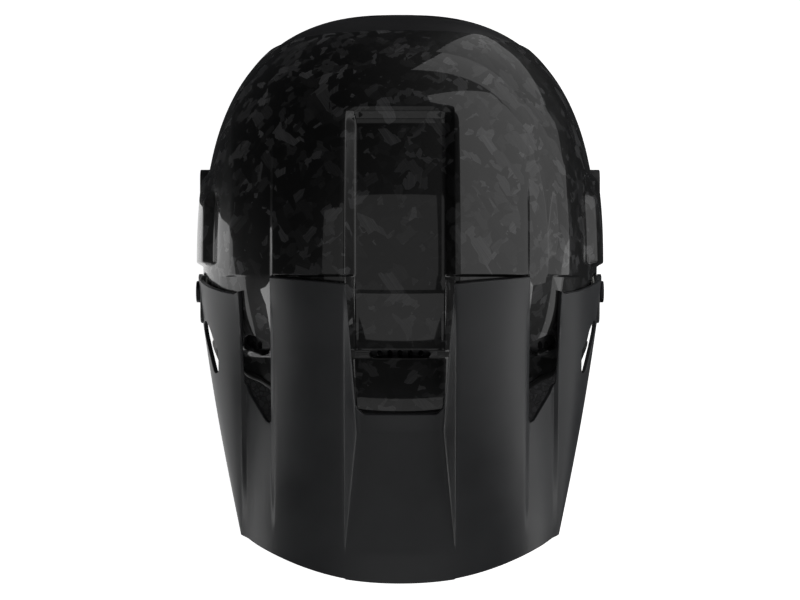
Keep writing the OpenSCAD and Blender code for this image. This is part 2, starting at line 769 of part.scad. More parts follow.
// Openings in plan, by the centres of their rounded corners: over the channel, over the crown
// beside a ridge, and beside the ear
corner_r = 1.5;
CENTRE_OPENING = [
    [-1, 30], [strip_in_x - 2.9, 30], [strip_in_x - 2.9, joint_y - 4],
    [recess_half_w - 1.1, recess_y + 13], [recess_half_w - 4.2, recess_y + 9.5],
    [-1, recess_y + 9.5]
];
PANEL_OPENING = [
    [ridge_half_w + 2.5, 30], [crest_x - 3.1, 30], [crest_x - 5.1, -12], [crest_x - 7.5, -47],
    [crest_x - 10.2, -54], [ridge_half_w + 2.5, -70]
];
SIDE_SLOT = [[crest_x + 19.3, -14], [crest_x + 19.3, -18], [crest_x + 12.3, -42], [crest_x + 12.3, -31]];
module plan_cut(side, outline) {
    translate([0, 0, through])
        linear_extrude(3 * through)
            hull()
                for (p = outline)
                    translate([side * p[0], p[1]])
                        circle(corner_r, $fn = VENT_SIDES);
}

// Thickened ear round a pivot, drawn out along the visor's side
ear_toe = [-14, 3];
ear_toe_r = 5;
module ear(side) {
    hull() {
        on_pivot(side, ear_x, ear_t, seat_r - 1);
        translate([0, ear_toe[0], ear_toe[1]])
            on_pivot(side, ear_x, ear_t, ear_toe_r);
    }
}

module visor() {
    color([0.2, 0.2, 0.2])
        translate(in_frame_shift)
            difference() {
                union() {
                    visor_sheet();
                    ear(-1);
                    ear(1);
                }
                for (side = [-1, 1]) {
                    plan_cut(side, CENTRE_OPENING);
                    plan_cut(side, PANEL_OPENING);
                    plan_cut(side, SIDE_SLOT);
                    on_pivot(side, ear_x - 10, 10, seat_r + gap);
                    on_pivot(side, ear_x - 10, 30, bore(shoulder_r + run, PIVOT_SIDES));
                    on_pivot(side, ear_x + ear_t, 30, bore(screw_head_r + fit, PIVOT_SIDES));
                }
            }
}

// Patch that fills the space between two heights over a rectangle in plan
module filled_patch(x0, x1, y0, y1, low, high, steps) {
    n = steps + 1;
    function plan(i, j) = [mix(x0, x1, i / steps), mix(y0, y1, j / steps)];
    points = [for (f = [low, high]) for (i = [0:steps]) for (j = [0:steps])
        let(p = plan(i, j)) [p[0], p[1], f(abs(p[0]), p[1])]];
    flip = x1 > x0 ? 1 : 0;
    quads = [for (i = [0:steps - 1]) for (j = [0:steps - 1])
        let(a = i * n + j, b = a + n, t = n * n)
        each [[a, b, a + 1], [b, b + 1, a + 1], [t + a, t + a + 1, t + b], [t + b, t + a + 1, t + b + 1]]];
    walls = [for (i = [0:steps - 1])
        let(a = i, b = i * n, c = steps * n + i, d = i * n + steps, t = n * n)
        each [[a, a + 1, t + a], [a + 1, t + a + 1, t + a], [b, t + b, b + n], [b + n, t + b, t + b + n],
              [c, t + c, c + 1], [c + 1, t + c, t + c + 1], [d, d + n, t + d], [d + n, t + d + n, t + d]]];
    faces = concat(quads, walls);
    polyhedron(points, flip == 1 ? faces : [for (f = faces) [f[0], f[2], f[1]]], convexity = 2);
}

// Rubber stops between the visor's strips and the crown
module visor_bumper(side) {
    under = function(x, y) surface_z(x, y) - rebate + gap;
    over = function(x, y) visor_top(x, y) - visor_t - 3 * gap;
    color([0.06, 0.06, 0.06])
        translate(in_frame_shift)
            filled_patch(side * bumper_in_x, side * bumper_out_x, -2, 9, under, over, 3);
}

// Cushion over a placing rule: u and v run from -1 to 1, d is its depth from the wall.
// Its sides draw in between the corners and it is fullest in the middle.
CUSHION_SECTION = [
    [0.35, 0], [0.7, 0], [0.95, 0.03], [1, 0.36], [0.95, 0.76], [0.74, 0.93], [0.36, 1]
];
CUSHION_SIDES = 20;
draw_in = 0.06;
function corner_pow(c, n) = sign(c) * pow(abs(c), 2 / n);
function cushion_rim(a) = (1 - draw_in * pow(cos(2 * a), 2)) * [corner_pow(cos(a), 3.4), corner_pow(sin(a), 3.4)];
module cushion(place, t, flip) {
    m = CUSHION_SIDES;
    last = len(CUSHION_SECTION) - 1;
    rings = [for (r = CUSHION_SECTION) for (i = [0:m - 1])
        let(p = cushion_rim(i * 360 / m) * r[0]) place(p[0], p[1], t * r[1])];
    points = concat(rings, [place(0, 0, 0), place(0, 0, t)]);
    back = len(rings);
    wall = [for (r = [0:last - 1]) for (i = [0:m - 1])
        let(n = (i + 1) % m, a = r * m + i, b = r * m + n)
        each [[a, a + m, b], [b, a + m, b + m]]];
    caps = [for (i = [0:m - 1]) let(n = (i + 1) % m)
        each [[back, i, n], [back + 1, last * m + n, last * m + i]]];
    faces = concat(wall, caps);
    polyhedron(points, flip ? [for (f = faces) [f[0], f[2], f[1]]] : faces, convexity = 4);
}

// Point of the head cavity's wall at a turn from the rear and a height along the wall
function cavity_point(lon, rise, d) = let(
    lat = rise > 0 ? rise / (head_dome_h) * 180 / PI : 0, low = rise > 0 ? 0 : rise
) [(head_half_w - d) * cos(lat) * sin(lon), head_y + (head_half_l - d) * cos(lat) * cos(lon),
   head_z + low + (head_dome_h - d) * sin(lat)];
function dome_point(x, y, d) = [x, head_y + y,
    head_z + (head_dome_h - d) * sqrt(1 - pow(x / (head_half_w - d), 2) - pow(y / (head_half_l - d), 2))];

// Pads on the wall: each has a turn from the rear, half its turn, and its lower and upper edge
BROW_PAD = [180, 46, [80, 106]];
SIDE_PAD = [80, 26, [-4, 46]];
NECK_PAD = [0, 46, [-86, -44]];
module wall_pad(spot, side = 1) {
    color([0.14, 0.14, 0.15])
        translate(in_frame_shift)
            cushion(function(u, v, d)
                cavity_point(side * spot[0] + u * spot[1], mix(spot[2][0], spot[2][1], (v + 1) / 2), d),
                pad_t, false);
}

crown_pad_half = [44, 58];
crown_pad_y = 10;

module crown_pad() {
    color([0.14, 0.14, 0.15])
        translate(in_frame_shift)
            cushion(function(u, v, d)
                dome_point(crown_pad_half[0] * u, crown_pad_half[1] * v + crown_pad_y, d), pad_t, true);
}

// Cheek pads hang on snaps in front of the strap
pad_back_x = cheek_face_x - 3.5;
cheek_y = 9;
cheek_z = 57;
cheek_half_l = 38;
cheek_half_h = 35;
SNAPS = [[-17, 39], [-17, 75], [3, 57]];
stud_base_t = 1.4;
stud_base_r = 5.5;
socket_r = 6.5;
socket_in = 3;
socket_x = pad_back_x + stud_base_t + 0.1;
module cheek_pad(side) {
    color([0.14, 0.14, 0.15])
        translate(in_frame_shift)
            cushion(function(u, v, d) [side * (pad_back_x - d), cheek_y + u * cheek_half_l,
                                       cheek_z + v * cheek_half_h], cheek_pad_t, side < 0);
}

module at_snaps(side, from, length, r) {
    for (p = SNAPS)
        translate([side * from, p[0], p[1]])
            rotate([0, side * 90, 0])
                cylinder(r = r, h = length, $fn = ANCHOR_SIDES);
}

module socket_holes(side, r) {
    at_snaps(side, cheek_face_x - 5, 5 + socket_in + fit, r);
}

module cheek_sockets(side) {
    color([0.3, 0.3, 0.3])
        translate(in_frame_shift)
            difference() {
                at_snaps(side, socket_x, cheek_face_x + socket_in - socket_x, socket_r);
                at_snaps(side, socket_x - 1, 20, snap_r + run);
            }
}

module cheek_studs(side) {
    color([0.3, 0.3, 0.3])
        translate(in_frame_shift) {
            at_snaps(side, pad_back_x, stud_base_t, stud_base_r);
            at_snaps(side, pad_back_x + stud_base_t - 0.1, cheek_face_x + socket_in - 0.5 - pad_back_x - stud_base_t,
                     snap_r);
        }
}

// Chin strap: a flat band that follows a route in the XZ plane, centred on the anchors
strap_behind_x = cheek_face_x - 1.7;
strap_top_x = anchor_wall_x - shell_t - 2.6;
strap_rest_z = 7.4;
anchor_plate_t = 1.5;
STRAP_ROUTE = [
    [strap_top_x, anchor_z + 10], [strap_top_x, anchor_z - 11], [strap_top_x - 5, anchor_z - 19],
    [mix(strap_behind_x, strap_top_x, 0.4), anchor_z - 25], [strap_behind_x + 4, anchor_z - 30],
    [strap_behind_x, anchor_z - 37], [strap_behind_x, 27], [strap_behind_x - 2, 18],
    [strap_behind_x - 8, 11.5], [strap_behind_x - 17, 8.4], [strap_behind_x - 28, strap_rest_z]
];
function route_side(path, i) = let(
    a = path[max(0, i - 1)], b = path[min(len(path) - 1, i + 1)], t = unit(b - a)
) [-t[1], t[0]];
module band(path, t, w) {
    outline = concat(
        [for (i = [0:len(path) - 1]) path[i] + route_side(path, i) * t / 2],
        [for (i = [len(path) - 1:-1:0]) path[i] - route_side(path, i) * t / 2]
    );
    translate([0, anchor_y + w / 2, 0])
        rotate([90, 0, 0])
            linear_extrude(w)
                polygon(outline);
}

module strap_half(side, end_x) {
    color([0.1, 0.1, 0.1])
        translate(in_frame_shift)
            difference() {
                scale([side, 1, 1])
                    band(concat(STRAP_ROUTE, [[end_x, strap_rest_z]]), strap_t, strap_w);
                on_anchor(side, strap_top_x - 10, 20, rivet_r + run);
            }
}

module strap_anchor(side) {
    plate_x = strap_top_x - strap_t / 2 - 0.1 - anchor_plate_t;
    color([0.6, 0.6, 0.62])
        translate(in_frame_shift) {
            on_anchor(side, plate_x, anchor_plate_t, rivet_head_r + 2);
            on_anchor(side, plate_x, anchor_wall_x - plate_x, rivet_r);
            on_anchor(side, anchor_wall_x - rivet_sink + run, rivet_head_t, rivet_head_r);
        }
}

// Padded sleeve on the strap
sleeve_t = 6;
module strap_sleeve(side, from, to) {
    color([0.13, 0.13, 0.14])
        translate(in_frame_shift)
            difference() {
                band([[side * from, strap_rest_z], [side * to, strap_rest_z]], sleeve_t, strap_w + 5);
                band([[side * (from - 1), strap_rest_z], [side * (to + 1), strap_rest_z]],
                     strap_t + 2 * gap, strap_w + 2 * gap);
            }
}

// Ratchet buckle on the left half of the strap
buckle_from = 50;
buckle_to = 10;
buckle_w = strap_w + 5;
wall_t = 2;
tongue_t = 2.2;
tongue_z = strap_rest_z;
tray_z = tongue_z - tongue_t / 2 - fit - wall_t;
pin_x = buckle_from - 12;
pin_z = tongue_z + 6.6;
lever_t = 2.2;
hub_r = pin_r + 1.7;
tooth_h = 1;
tooth_pitch = 3;
tooth_l = 2.4;
block_l = 8;
module box_at(x0, x1, w, z0, z1) {
    translate([-x0, anchor_y - w / 2, z0])
        cube([x0 - x1, w, z1 - z0]);
}

module pin_line(from_y, length, r) {
    translate([-pin_x, from_y, pin_z])
        rotate([-90, 0, 0])
            cylinder(r = r, h = length, $fn = 40);
}

module strap_pocket_cut(x0, x1) {
    box_at(x0, x1, strap_w + 2 * fit, strap_rest_z - strap_t / 2 - 0.1, strap_rest_z + strap_t / 2 + 0.1);
}

module buckle_base() {
    top = pin_z + hub_r + 0.5;
    color([0.12, 0.12, 0.12])
        translate(in_frame_shift)
            difference() {
                union() {
                    box_at(buckle_from, buckle_to, buckle_w, tray_z, tray_z + wall_t);
                    box_at(buckle_from + block_l, buckle_from - 1, buckle_w, tray_z, tongue_z + 3);
                    for (end = [-1, 1])
                        translate([-buckle_from, anchor_y + end * (buckle_w - wall_t) / 2 - wall_t / 2, tray_z])
                            cube([buckle_from - buckle_to, wall_t, top - tray_z]);
                }
                strap_pocket_cut(buckle_from + block_l + 1, buckle_from + 2);
                pin_line(anchor_y - buckle_w, 2 * buckle_w, pin_r + fit / 10);
                for (end = [-1, 1])
                    translate([-buckle_to - 8, anchor_y + end * buckle_w / 2, top])
                        rotate([0, 30, 0])
                            cube([30, 3 * wall_t, 11], center = true);
            }
}

module buckle_pin() {
    color([0.65, 0.65, 0.67])
        translate(in_frame_shift)
            pin_line(anchor_y - buckle_w / 2 + 0.1, buckle_w - 0.2, pin_r);
}

// Spring sleeve round the pin, in the notch between the lever's two hubs
spring_w = 6;
module buckle_spring() {
    color([0.7, 0.7, 0.72])
        translate(in_frame_shift)
            difference() {
                pin_line(anchor_y - spring_w / 2, spring_w, hub_r - 0.6);
                pin_line(anchor_y - spring_w, 2 * spring_w, pin_r + run);
            }
}

lever_w = buckle_w - 2 * wall_t - 4 * fit;
module buckle_lever() {
    plate_z = pin_z + hub_r - lever_t;
    color([0.75, 0.1, 0.08])
        translate(in_frame_shift)
            difference() {
                union() {
                    pin_line(anchor_y - lever_w / 2, lever_w, hub_r);
                    box_at(pin_x, buckle_to - 3, lever_w, plate_z, plate_z + lever_t);
                    translate([-pin_x + 4, anchor_y - lever_w / 2, tongue_z + tongue_t / 2 + tooth_h + 0.3])
                        cube([4, lever_w, plate_z - tongue_z - tongue_t / 2 - tooth_h]);
                    for (grip = [0:3])
                        box_at(buckle_to + 8 - grip * 3, buckle_to + 6.8 - grip * 3, lever_w - 3,
                               plate_z + lever_t - 0.2, plate_z + lever_t + 0.7);
                }
                pin_line(anchor_y - lever_w, 2 * lever_w, pin_r + run);
                translate([-pin_x - 10, anchor_y - spring_w / 2 - fit, pin_z - 8])
                    cube([14 - run, spring_w + 2 * fit, 20]);
            }
}

tongue_from = buckle_from - 11;
tongue_to = buckle_to - 14;
module ratchet_tongue() {
    color([0.25, 0.25, 0.26])
        translate(in_frame_shift)
            difference() {
                union() {
                    box_at(tongue_from, tongue_to, strap_w - 2, tongue_z - tongue_t / 2, tongue_z + tongue_t / 2);
                    box_at(tongue_to + 1, tongue_to - 9, strap_w + 4, tongue_z - 2.6, tongue_z + 2.6);
                    for (n = [0:9])
                        translate([-tongue_from + 2 + n * tooth_pitch, anchor_y + strap_w / 2 - 1.2, tongue_z])
                            rotate([90, 0, 0])
                                linear_extrude(strap_w - 2.4)
                                    polygon([[0, 0], [0, tongue_t / 2 + tooth_h], [tooth_l, tongue_t / 2],
                                             [tooth_l, 0]]);
                }
                strap_pocket_cut(tongue_to - 2, tongue_to - 12);
            }
}

outer_shell();
rear_cover();
impact_liner();
chin_liner();
eyeport_trim();
neck_trim();
mouth_grille();
chin_grille(-1);  // chin_grille_left
chin_grille(1);  // chin_grille_right
brow_grille();
exhaust_grille();
side_port(-1);  // side_port_left
side_port(1);  // side_port_right
visor_nut(-1);  // visor_nut_left
visor_nut(1);  // visor_nut_right
visor_washer(-1);  // visor_washer_left
visor_washer(1);  // visor_washer_right
visor();
visor_bumper(-1);  // visor_bumper_left
visor_bumper(1);  // visor_bumper_right
visor_screw(-1);  // visor_screw_left
visor_screw(1);  // visor_screw_right
crown_pad();
wall_pad(BROW_PAD);  // brow_pad
wall_pad(SIDE_PAD, -1);  // side_pad_left
wall_pad(SIDE_PAD);  // side_pad_right
wall_pad(NECK_PAD);  // neck_pad
cheek_sockets(-1);  // cheek_sockets_left
cheek_sockets(1);  // cheek_sockets_right
cheek_pad(-1);  // cheek_pad_left
cheek_pad(1);  // cheek_pad_right
cheek_studs(-1);  // cheek_studs_left
cheek_studs(1);  // cheek_studs_right
strap_anchor(-1);  // strap_anchor_left
strap_anchor(1);  // strap_anchor_right
strap_half(-1, buckle_from + 3);  // strap_left
strap_half(1, 2 - tongue_to);  // strap_right
strap_sleeve(1, 16, 60);
ratchet_tongue();
buckle_base();
buckle_pin();
buckle_spring();
buckle_lever();
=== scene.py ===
"""Full-face mountain bike helmet, dressed for rendering over its packed construction model."""
import functools
import json
import math

import bmesh
import bpy
import numpy as np
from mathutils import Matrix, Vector

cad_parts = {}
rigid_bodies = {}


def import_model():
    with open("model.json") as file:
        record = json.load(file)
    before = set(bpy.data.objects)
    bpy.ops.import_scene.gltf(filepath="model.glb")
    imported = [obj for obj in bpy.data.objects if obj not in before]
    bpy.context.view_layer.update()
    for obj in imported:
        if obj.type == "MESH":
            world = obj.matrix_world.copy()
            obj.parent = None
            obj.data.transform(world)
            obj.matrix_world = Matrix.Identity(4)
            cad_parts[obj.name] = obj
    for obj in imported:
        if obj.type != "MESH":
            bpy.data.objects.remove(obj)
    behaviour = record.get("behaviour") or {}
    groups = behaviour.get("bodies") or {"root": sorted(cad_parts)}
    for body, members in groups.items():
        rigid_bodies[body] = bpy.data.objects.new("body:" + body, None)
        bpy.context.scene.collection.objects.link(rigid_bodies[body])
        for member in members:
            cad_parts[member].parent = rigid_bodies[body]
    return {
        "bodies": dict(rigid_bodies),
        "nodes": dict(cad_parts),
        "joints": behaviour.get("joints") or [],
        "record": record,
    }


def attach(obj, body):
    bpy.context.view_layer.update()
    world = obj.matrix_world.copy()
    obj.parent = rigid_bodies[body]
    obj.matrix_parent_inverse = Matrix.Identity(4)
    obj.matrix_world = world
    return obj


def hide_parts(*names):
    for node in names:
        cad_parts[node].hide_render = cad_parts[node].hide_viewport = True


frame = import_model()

bl_info = {
    "name": "Full-Face Bike Helmet",
    "version": (1, 0, 0),
    "blender": (4, 5, 0),
    "location": "3D View > Sidebar > Helmet",
    "description": "Shell, visor, liners, pads, strap and studio of a full-face mountain bike helmet",
    "category": "Add Mesh",
}

MM = 0.001
LOCAL_Y = -5.9  # where the crown's cross line lies along the frame's Y, in millimetres
ROOT = "helmet"


# Helpers; lengths are in millimetres, and Y is counted from the crown's cross line

def shares(t, m):
    """Half width of a superellipse of power m at a share t of its half length."""
    return np.power(np.clip(1 - np.power(np.clip(t, 0, None), m), 0, None), 1 / m)


def smooth(t):
    c = np.clip(t, 0, 1)
    return c * c * (3 - 2 * c)


def mix(a, b, t):
    return a + (b - a) * t


def columns(*values):
    """Rows of coordinates from an array or a number for each coordinate."""
    return np.stack(np.broadcast_arrays(*values), 1)


def full_turn(count):
    return np.linspace(0, 2 * math.pi, count, endpoint=False)


def unit_rows(v):
    return v / np.maximum(np.linalg.norm(v, axis=1, keepdims=True), 1e-12)


def read_lines(table, k):
    """Values of a table of lines by stations, at one line position k for each station."""
    low = np.minimum(np.floor(k).astype(int), len(table) - 2)
    at = np.arange(len(k))
    return mix(table[low, at], table[low + 1, at], k - low)


def millimetres(group):
    """The sizes of a property group, in the order in which it lists them."""
    return [getattr(group, key) / MM for key in type(group).__annotations__]


class ShellRule:
    """The shell's superellipses, and the relief of its crown and wings."""

    mid_y, crown_y = 20.0, 15.0
    rear_pole_z, chin_pole_z, wide_mid_z, low_z = 85.0, 60.0, 110.0, -60.0
    n_top, n_low = 2.4, 2.2  # powers of a cross section above and below its widest line
    plan, crest, keel = (2.6, 1.85), (2.3, 1.45), (2.6, 2.4)  # powers behind and before the middle
    joint_y, lip_y, brow_y = 14.0, -29.0, -34.0
    keep_rear, keep_front = 112.0, -60.0  # the crown's lines draw together beyond these stations
    crest_share, crest_start, crest_run = (0.82, 0.97), 58.0, 92.0  # of the half width, and where it grows
    joint_drop, brow_drop, channel_drop, crest_lift = 1.4, 8.0, 7.0, 1.4
    channel_end, ridge_end, chin_end = 113.0, 95.0, -110.0
    wing_start, wing_ends = 20.0, (68.0, 80.0)
    side_share = (0.18, 0.37, 0.45, 0.7, 1.0)
    low_angle = (103.0, 116.0, 130.0, 150.0, 180.0)
    lines, soft = 19, 0.1

    def __init__(self, s):
        (self.half, self.crown, self.rear, self.chin, self.wall, self.wing_h, self.ridge_h, self.ridge_w,
         self.channel_w, self.channel_d, self.cover_drop) = millimetres(s)
        top = self.channel_w + 5.9
        self.top_x = [0, self.channel_w / 2, self.channel_w, top, mix(top, self.ridge_w, 0.5),
                      self.ridge_w - 0.8, self.ridge_w + 0.8]

    def away(self, y, centre):
        """How far the stations y are on the way from a centre to either pole."""
        return np.where(y > centre, (y - centre) / (self.rear - centre), (centre - y) / (centre + self.chin))

    def swell(self, y, centre, powers):
        t = self.away(y, centre)
        return np.where(y > centre, shares(t, powers[0]), shares(t, powers[1]))

    def pole_z(self, y, centre):
        return np.where(y > centre, self.rear_pole_z, self.chin_pole_z)

    def half_w(self, y):
        return self.half * self.swell(y, self.mid_y, self.plan)

    def top_z(self, y):
        return mix(self.pole_z(y, self.crown_y), self.crown, self.swell(y, self.crown_y, self.crest))

    def wide_z(self, y):
        return mix(self.wide_mid_z, self.pole_z(y, self.mid_y), np.clip(self.away(y, self.mid_y), 0, 1) ** 2)

    def bottom_z(self, y):
        return mix(self.pole_z(y, self.mid_y), self.low_z, self.swell(y, self.mid_y, self.keel))

    def section(self, y, a):
        """X and Z of the plain shell at the stations y and the angles a from the top."""
        r = np.radians(a)
        power = 2 / np.where(a <= 90, self.n_top, self.n_low)
        end = np.where(a <= 90, self.top_z(y), self.bottom_z(y))
        return (self.half_w(y) * np.clip(np.sin(r), 0, None) ** power,
                mix(self.wide_z(y), end, np.abs(np.cos(r)) ** power))

    def surface_z(self, x, y):
        return mix(self.wide_z(y), self.top_z(y), shares(x / self.half_w(y), self.n_top))

    def surface_x(self, y, z):
        wide = self.wide_z(y)
        above = shares((z - wide) / (self.top_z(y) - wide), self.n_top)
        below = shares((wide - z) / (wide - self.bottom_z(y)), self.n_low)
        return self.half_w(y) * np.where(z > wide, above, below)

    def line_angles(self, y):
        """Angle of each long line of the shell at the stations y: an array of lines by stations."""
        def angle(share):
            return np.degrees(np.arcsin(np.minimum(1, share) ** (self.n_top / 2)))

        w = np.maximum(self.half_w(y), 1e-4)
        keep = np.minimum(1, w / self.half_w(np.where(y > self.mid_y, self.keep_rear, self.keep_front)))
        out = [angle(x * keep / w) for x in self.top_x]
        crest = angle(mix(*self.crest_share, smooth((y - self.crest_start) / self.crest_run)))
        out += [mix(out[-1], crest, 0.5), crest]
        out += [mix(crest, 90.0, share) for share in self.side_share]
        return np.array(out + [np.full_like(y, a) for a in self.low_angle])

    def line_relief(self, y):
        """Lift along Z and wing along X of each long line at the stations y."""
        step = smooth((self.lip_y - y) / (self.lip_y - self.brow_y))
        behind = y > self.joint_y
        channel = -self.channel_d * smooth((self.channel_end - y) / 12) - self.channel_drop * step
        fade = np.clip((self.ridge_end - y) / (self.ridge_end - self.joint_y), 0, 1)
        ridge = np.where(behind, self.ridge_h * fade, mix(-self.joint_drop, -self.brow_drop, step))
        rise = mix(self.crest_lift, 2 * self.crest_lift, smooth((y - self.joint_y) / 26))
        crest = np.where(behind, rise, -self.joint_drop) * smooth((self.rear - 6 - y) / 26)
        zero = np.zeros_like(y)
        lift = [channel] * 3 + [ridge] * 3 + [-self.brow_drop * step] * 2 + [crest] + [zero] * 10
        short, long = (smooth((y - self.wing_start) / 3) * smooth((end - y) / 9) for end in self.wing_ends)
        wing = [zero] * 10 + [-1.5 * short, self.wing_h * short] + [self.wing_h * long] * 4 + [zero] * 3
        return np.array(lift) * smooth((y - self.chin_end) / 40), np.array(wing)

    def point(self, u, y):
        """Points of the shell at signed line positions u and stations y."""
        last = self.lines - 1
        k = np.clip(np.abs(u), 0, last)
        x, z = self.section(y, read_lines(self.line_angles(y), k))
        dz, dx = (sum(weight * read_lines(table, np.clip(np.abs(k + off), 0, last))
                      for off, weight in ((-self.soft, 0.25), (0.0, 0.5), (self.soft, 0.25)))
                  for table in self.line_relief(y))
        return columns(np.sign(u) * (x + dx), y, z + dz)


class VisorRule:
    """The visor's lines from its rear edges to its tip."""

    strip_in, strip_mid, strip_out = 32.4, 46.0, 60.0
    crest_x, tip_corner, tip_crest, corner_back = 97.0, 94.0, 93.0, 27.0
    ear_y, ear_low_z, ear_front = 5.0, 143.0, 6.0
    recess_y, recess_w, recess_d, recess_run = -76.0, 25.0, 11.0, 72.0
    panel_d, side_bow, tip_arch = 4.0, 1.6, 0.6
    fall_shares = (0.76, 0.24)  # how much of the fall grows evenly and how much with the square
    side_q = (0.16, 0.32, 0.55, 0.78, 1.0)
    side_power = 2.1
    crest_line, last = 9, 14

    def __init__(self, shell, s):
        self.shell, self.joint = shell, shell.joint_y
        self.front, self.wall, self.fall = millimetres(s)
        self.joint_z = float(shell.top_z(self.joint))
        self.ear_reach = float(shell.surface_x(self.ear_y, self.ear_low_z)) + self.wall + 0.9
        j = self.joint
        self.rear = np.array([j - 4, j - 4, j - 4, j - 2.6, j - 1.3, j, j, j, 6, 4.6, 6, 8, 11, 14, 17]) - 1
        self.strip = (self.strip_in, self.strip_mid, self.strip_out, shell.ridge_w - 0.8)
        self.panel = (shell.ridge_w + 1.2, 84.0)
        self.tip_x = [0, self.strip_in - 3, *self.strip, *self.panel, self.tip_crest - 2, self.tip_crest,
                      *(mix(self.tip_crest, self.tip_corner, math.sqrt(q)) for q in self.side_q)]
        self.tip_corner_z = float(self.top(self.tip_crest, self.corner_back - self.front)) - 1

    def crest(self, y):
        return mix(self.tip_crest, self.crest_x, (np.clip(y + 50, 0, None) / 55) ** 2)

    def top(self, x, y):
        t = (self.joint - y) / (self.front + self.joint)
        drop = self.fall * (self.fall_shares[0] * t + self.fall_shares[1] * t * t)
        across = self.shell.surface_z(x * self.crest_x / self.crest(y), self.joint)
        arch = mix(1, self.tip_arch, smooth(t))
        return self.joint_z + self.shell.ridge_h - drop - (self.joint_z - across) * arch

    def point(self, u, v):
        """Points of the visor at signed line positions u and shares v from rear edge to tip."""
        k = np.clip(np.abs(u), 0, self.last)
        lines = np.arange(self.last + 1)
        tip = np.interp(k, lines, self.tip_x)
        tip_y = -self.front + self.corner_back * np.minimum(1, tip / self.tip_corner) ** self.side_power
        y = mix(np.interp(k, lines, self.rear), tip_y, v)
        start, behind = self.joint - 4, y > self.recess_y
        rear_part = np.clip((start - y) / (start - self.recess_y), 0, 1)
        tip_part = np.clip((self.recess_y - y) / self.recess_run, 0, 1)
        recess_x = np.where(behind, mix(self.strip_in - 1.4, self.recess_w, rear_part),
                            mix(self.recess_w, self.strip_in - 0.4, tip_part))
        recess = self.recess_d * np.where(behind, rear_part, 1 - tip_part)
        panel = self.panel_d * smooth((4 - y) / 40) * (1 - np.clip((-60 - y) / 75, 0, 1))
        crest = self.crest(y)
        xs = columns(0, recess_x, *self.strip, *self.panel, crest - 3, crest).T
        sunk = columns(recess, recess, 0, 0, 0, 0, panel, panel, panel, 0).T
        flat = np.minimum(k, self.crest_line)
        x = read_lines(xs, flat)
        z = self.top(x, y) - read_lines(sunk, flat)
        q = np.interp(k, lines[self.crest_line:], (0, *self.side_q))
        share = np.clip((self.ear_front - y) / (self.front - self.corner_back + self.ear_front), 0, 1)
        low_x = mix(self.ear_reach, self.tip_corner, share) + self.side_bow * np.sin(np.pi * share)
        side_x = mix(crest, low_x, 1 - (1 - q) ** self.side_power)
        side_z = mix(self.top(crest, y), mix(self.ear_low_z, self.tip_corner_z, share), q)
        on_side = k > self.crest_line
        return columns(np.sign(u) * np.where(on_side, side_x, x), y, np.where(on_side, side_z, z))


# Distances to the outlines that trim the surfaces: positive where the material stays

EYE_PATH = np.array([[-230, 93], [-72, 97], [-48, 101], [-37, 111], [-31, 130], [-30, 150],
                     [-33, 165], [-41, 176], [-54, 179.5], [-70, 182], [-230, 185]], float)
CENTRE_OPENING = np.array([[-29.5, 30], [29.5, 30], [29.5, 10], [23.9, -61.3], [20.8, -64.8],
                           [-20.8, -64.8], [-23.9, -61.3], [-29.5, 10]], float)
PANEL_OPENING = np.array([[76.5, 30], [93.9, 30], [91.9, -12], [89.5, -47], [86.8, -54], [76.5, -70]], float)
SIDE_SLOT = np.array([[116.3, -14], [116.3, -18], [109.3, -42], [109.3, -31]], float)
EYE_GROWTH = 3.0  # how far outside its path the eyeport is cut
NECK_RISE = 4.0  # how far the shell's lower edge lies above the neck trim's underside
COVER_PLANE = (161.0, 174.0, 0.145)  # Y and Z of a point on the rear joint, and its slope
BROW_Y = -31.5
BROW_MID = (15.0, 2.6)  # half length and radius
BROW_SIDE = (84.0, 5.0, 4.0, 4.6, 22.0)  # X, set-back, half length, radius and turn
MOUTH = (52.0, 26.0, 5.0, 7.0)  # height, pitch, half length and radius of the mouth slots
CHIN_VENT = (92.0, -85.0, 50.0, -30.0)  # X, Y, Z and turn about Z
CHIN_SLOT = (12.0, 2.0, 10.0)  # half a vent's run along and up, and its radius
EXHAUST = (24.0, 169.0, 128.0, 12.0)  # X, Y, Z and turn of the upper slots; the lower are further out
PORT = (70.0, 110.0, 5.0, 6.0)  # Y, Z, half length and radius
PIVOT = (5.0, 155.0)
ANCHOR = (36.0, 80.0)
SHELL_PIVOT_R, VISOR_PIVOT_R, ANCHOR_R = 4.95, 6.9, 2.6
OPENING_R = 1.5  # corner radius of the visor's openings
FAR = 99.0  # stands for a distance that trims nothing


def refined(path, steps=6):
    """Catmull-Rom points through an open path."""
    p = np.vstack([path[:1], path, path[-1:]])
    t = np.linspace(0, 1, steps, endpoint=False)[:, None]
    out = []
    for a, b, c, d in zip(p, p[1:], p[2:], p[3:]):
        out.append(0.5 * (2 * b + (c - a) * t + (2 * a - 5 * b + 4 * c - d) * t ** 2
                          + (3 * b - a - 3 * c + d) * t ** 3))
    return np.vstack([*out, path[-1:]])


def to_polygon(p, polygon):
    """Signed distance from the points p to a polygon, negative inside."""
    near = np.full(len(p), np.inf)
    inside = np.zeros(len(p), bool)
    for a, b in zip(polygon, np.roll(polygon, -1, axis=0)):
        ab, ap = b - a, p - a
        t = np.clip((ap @ ab) / (ab @ ab), 0, 1)
        near = np.minimum(near, np.linalg.norm(ap - t[:, None] * ab, axis=1))
        crosses = (a[1] > p[:, 1]) != (b[1] > p[:, 1])
        dy = b[1] - a[1] if b[1] != a[1] else 1e-9
        inside ^= crosses & (p[:, 0] < a[0] + (p[:, 1] - a[1]) * ab[0] / dy)
    return np.where(inside, -near, near)


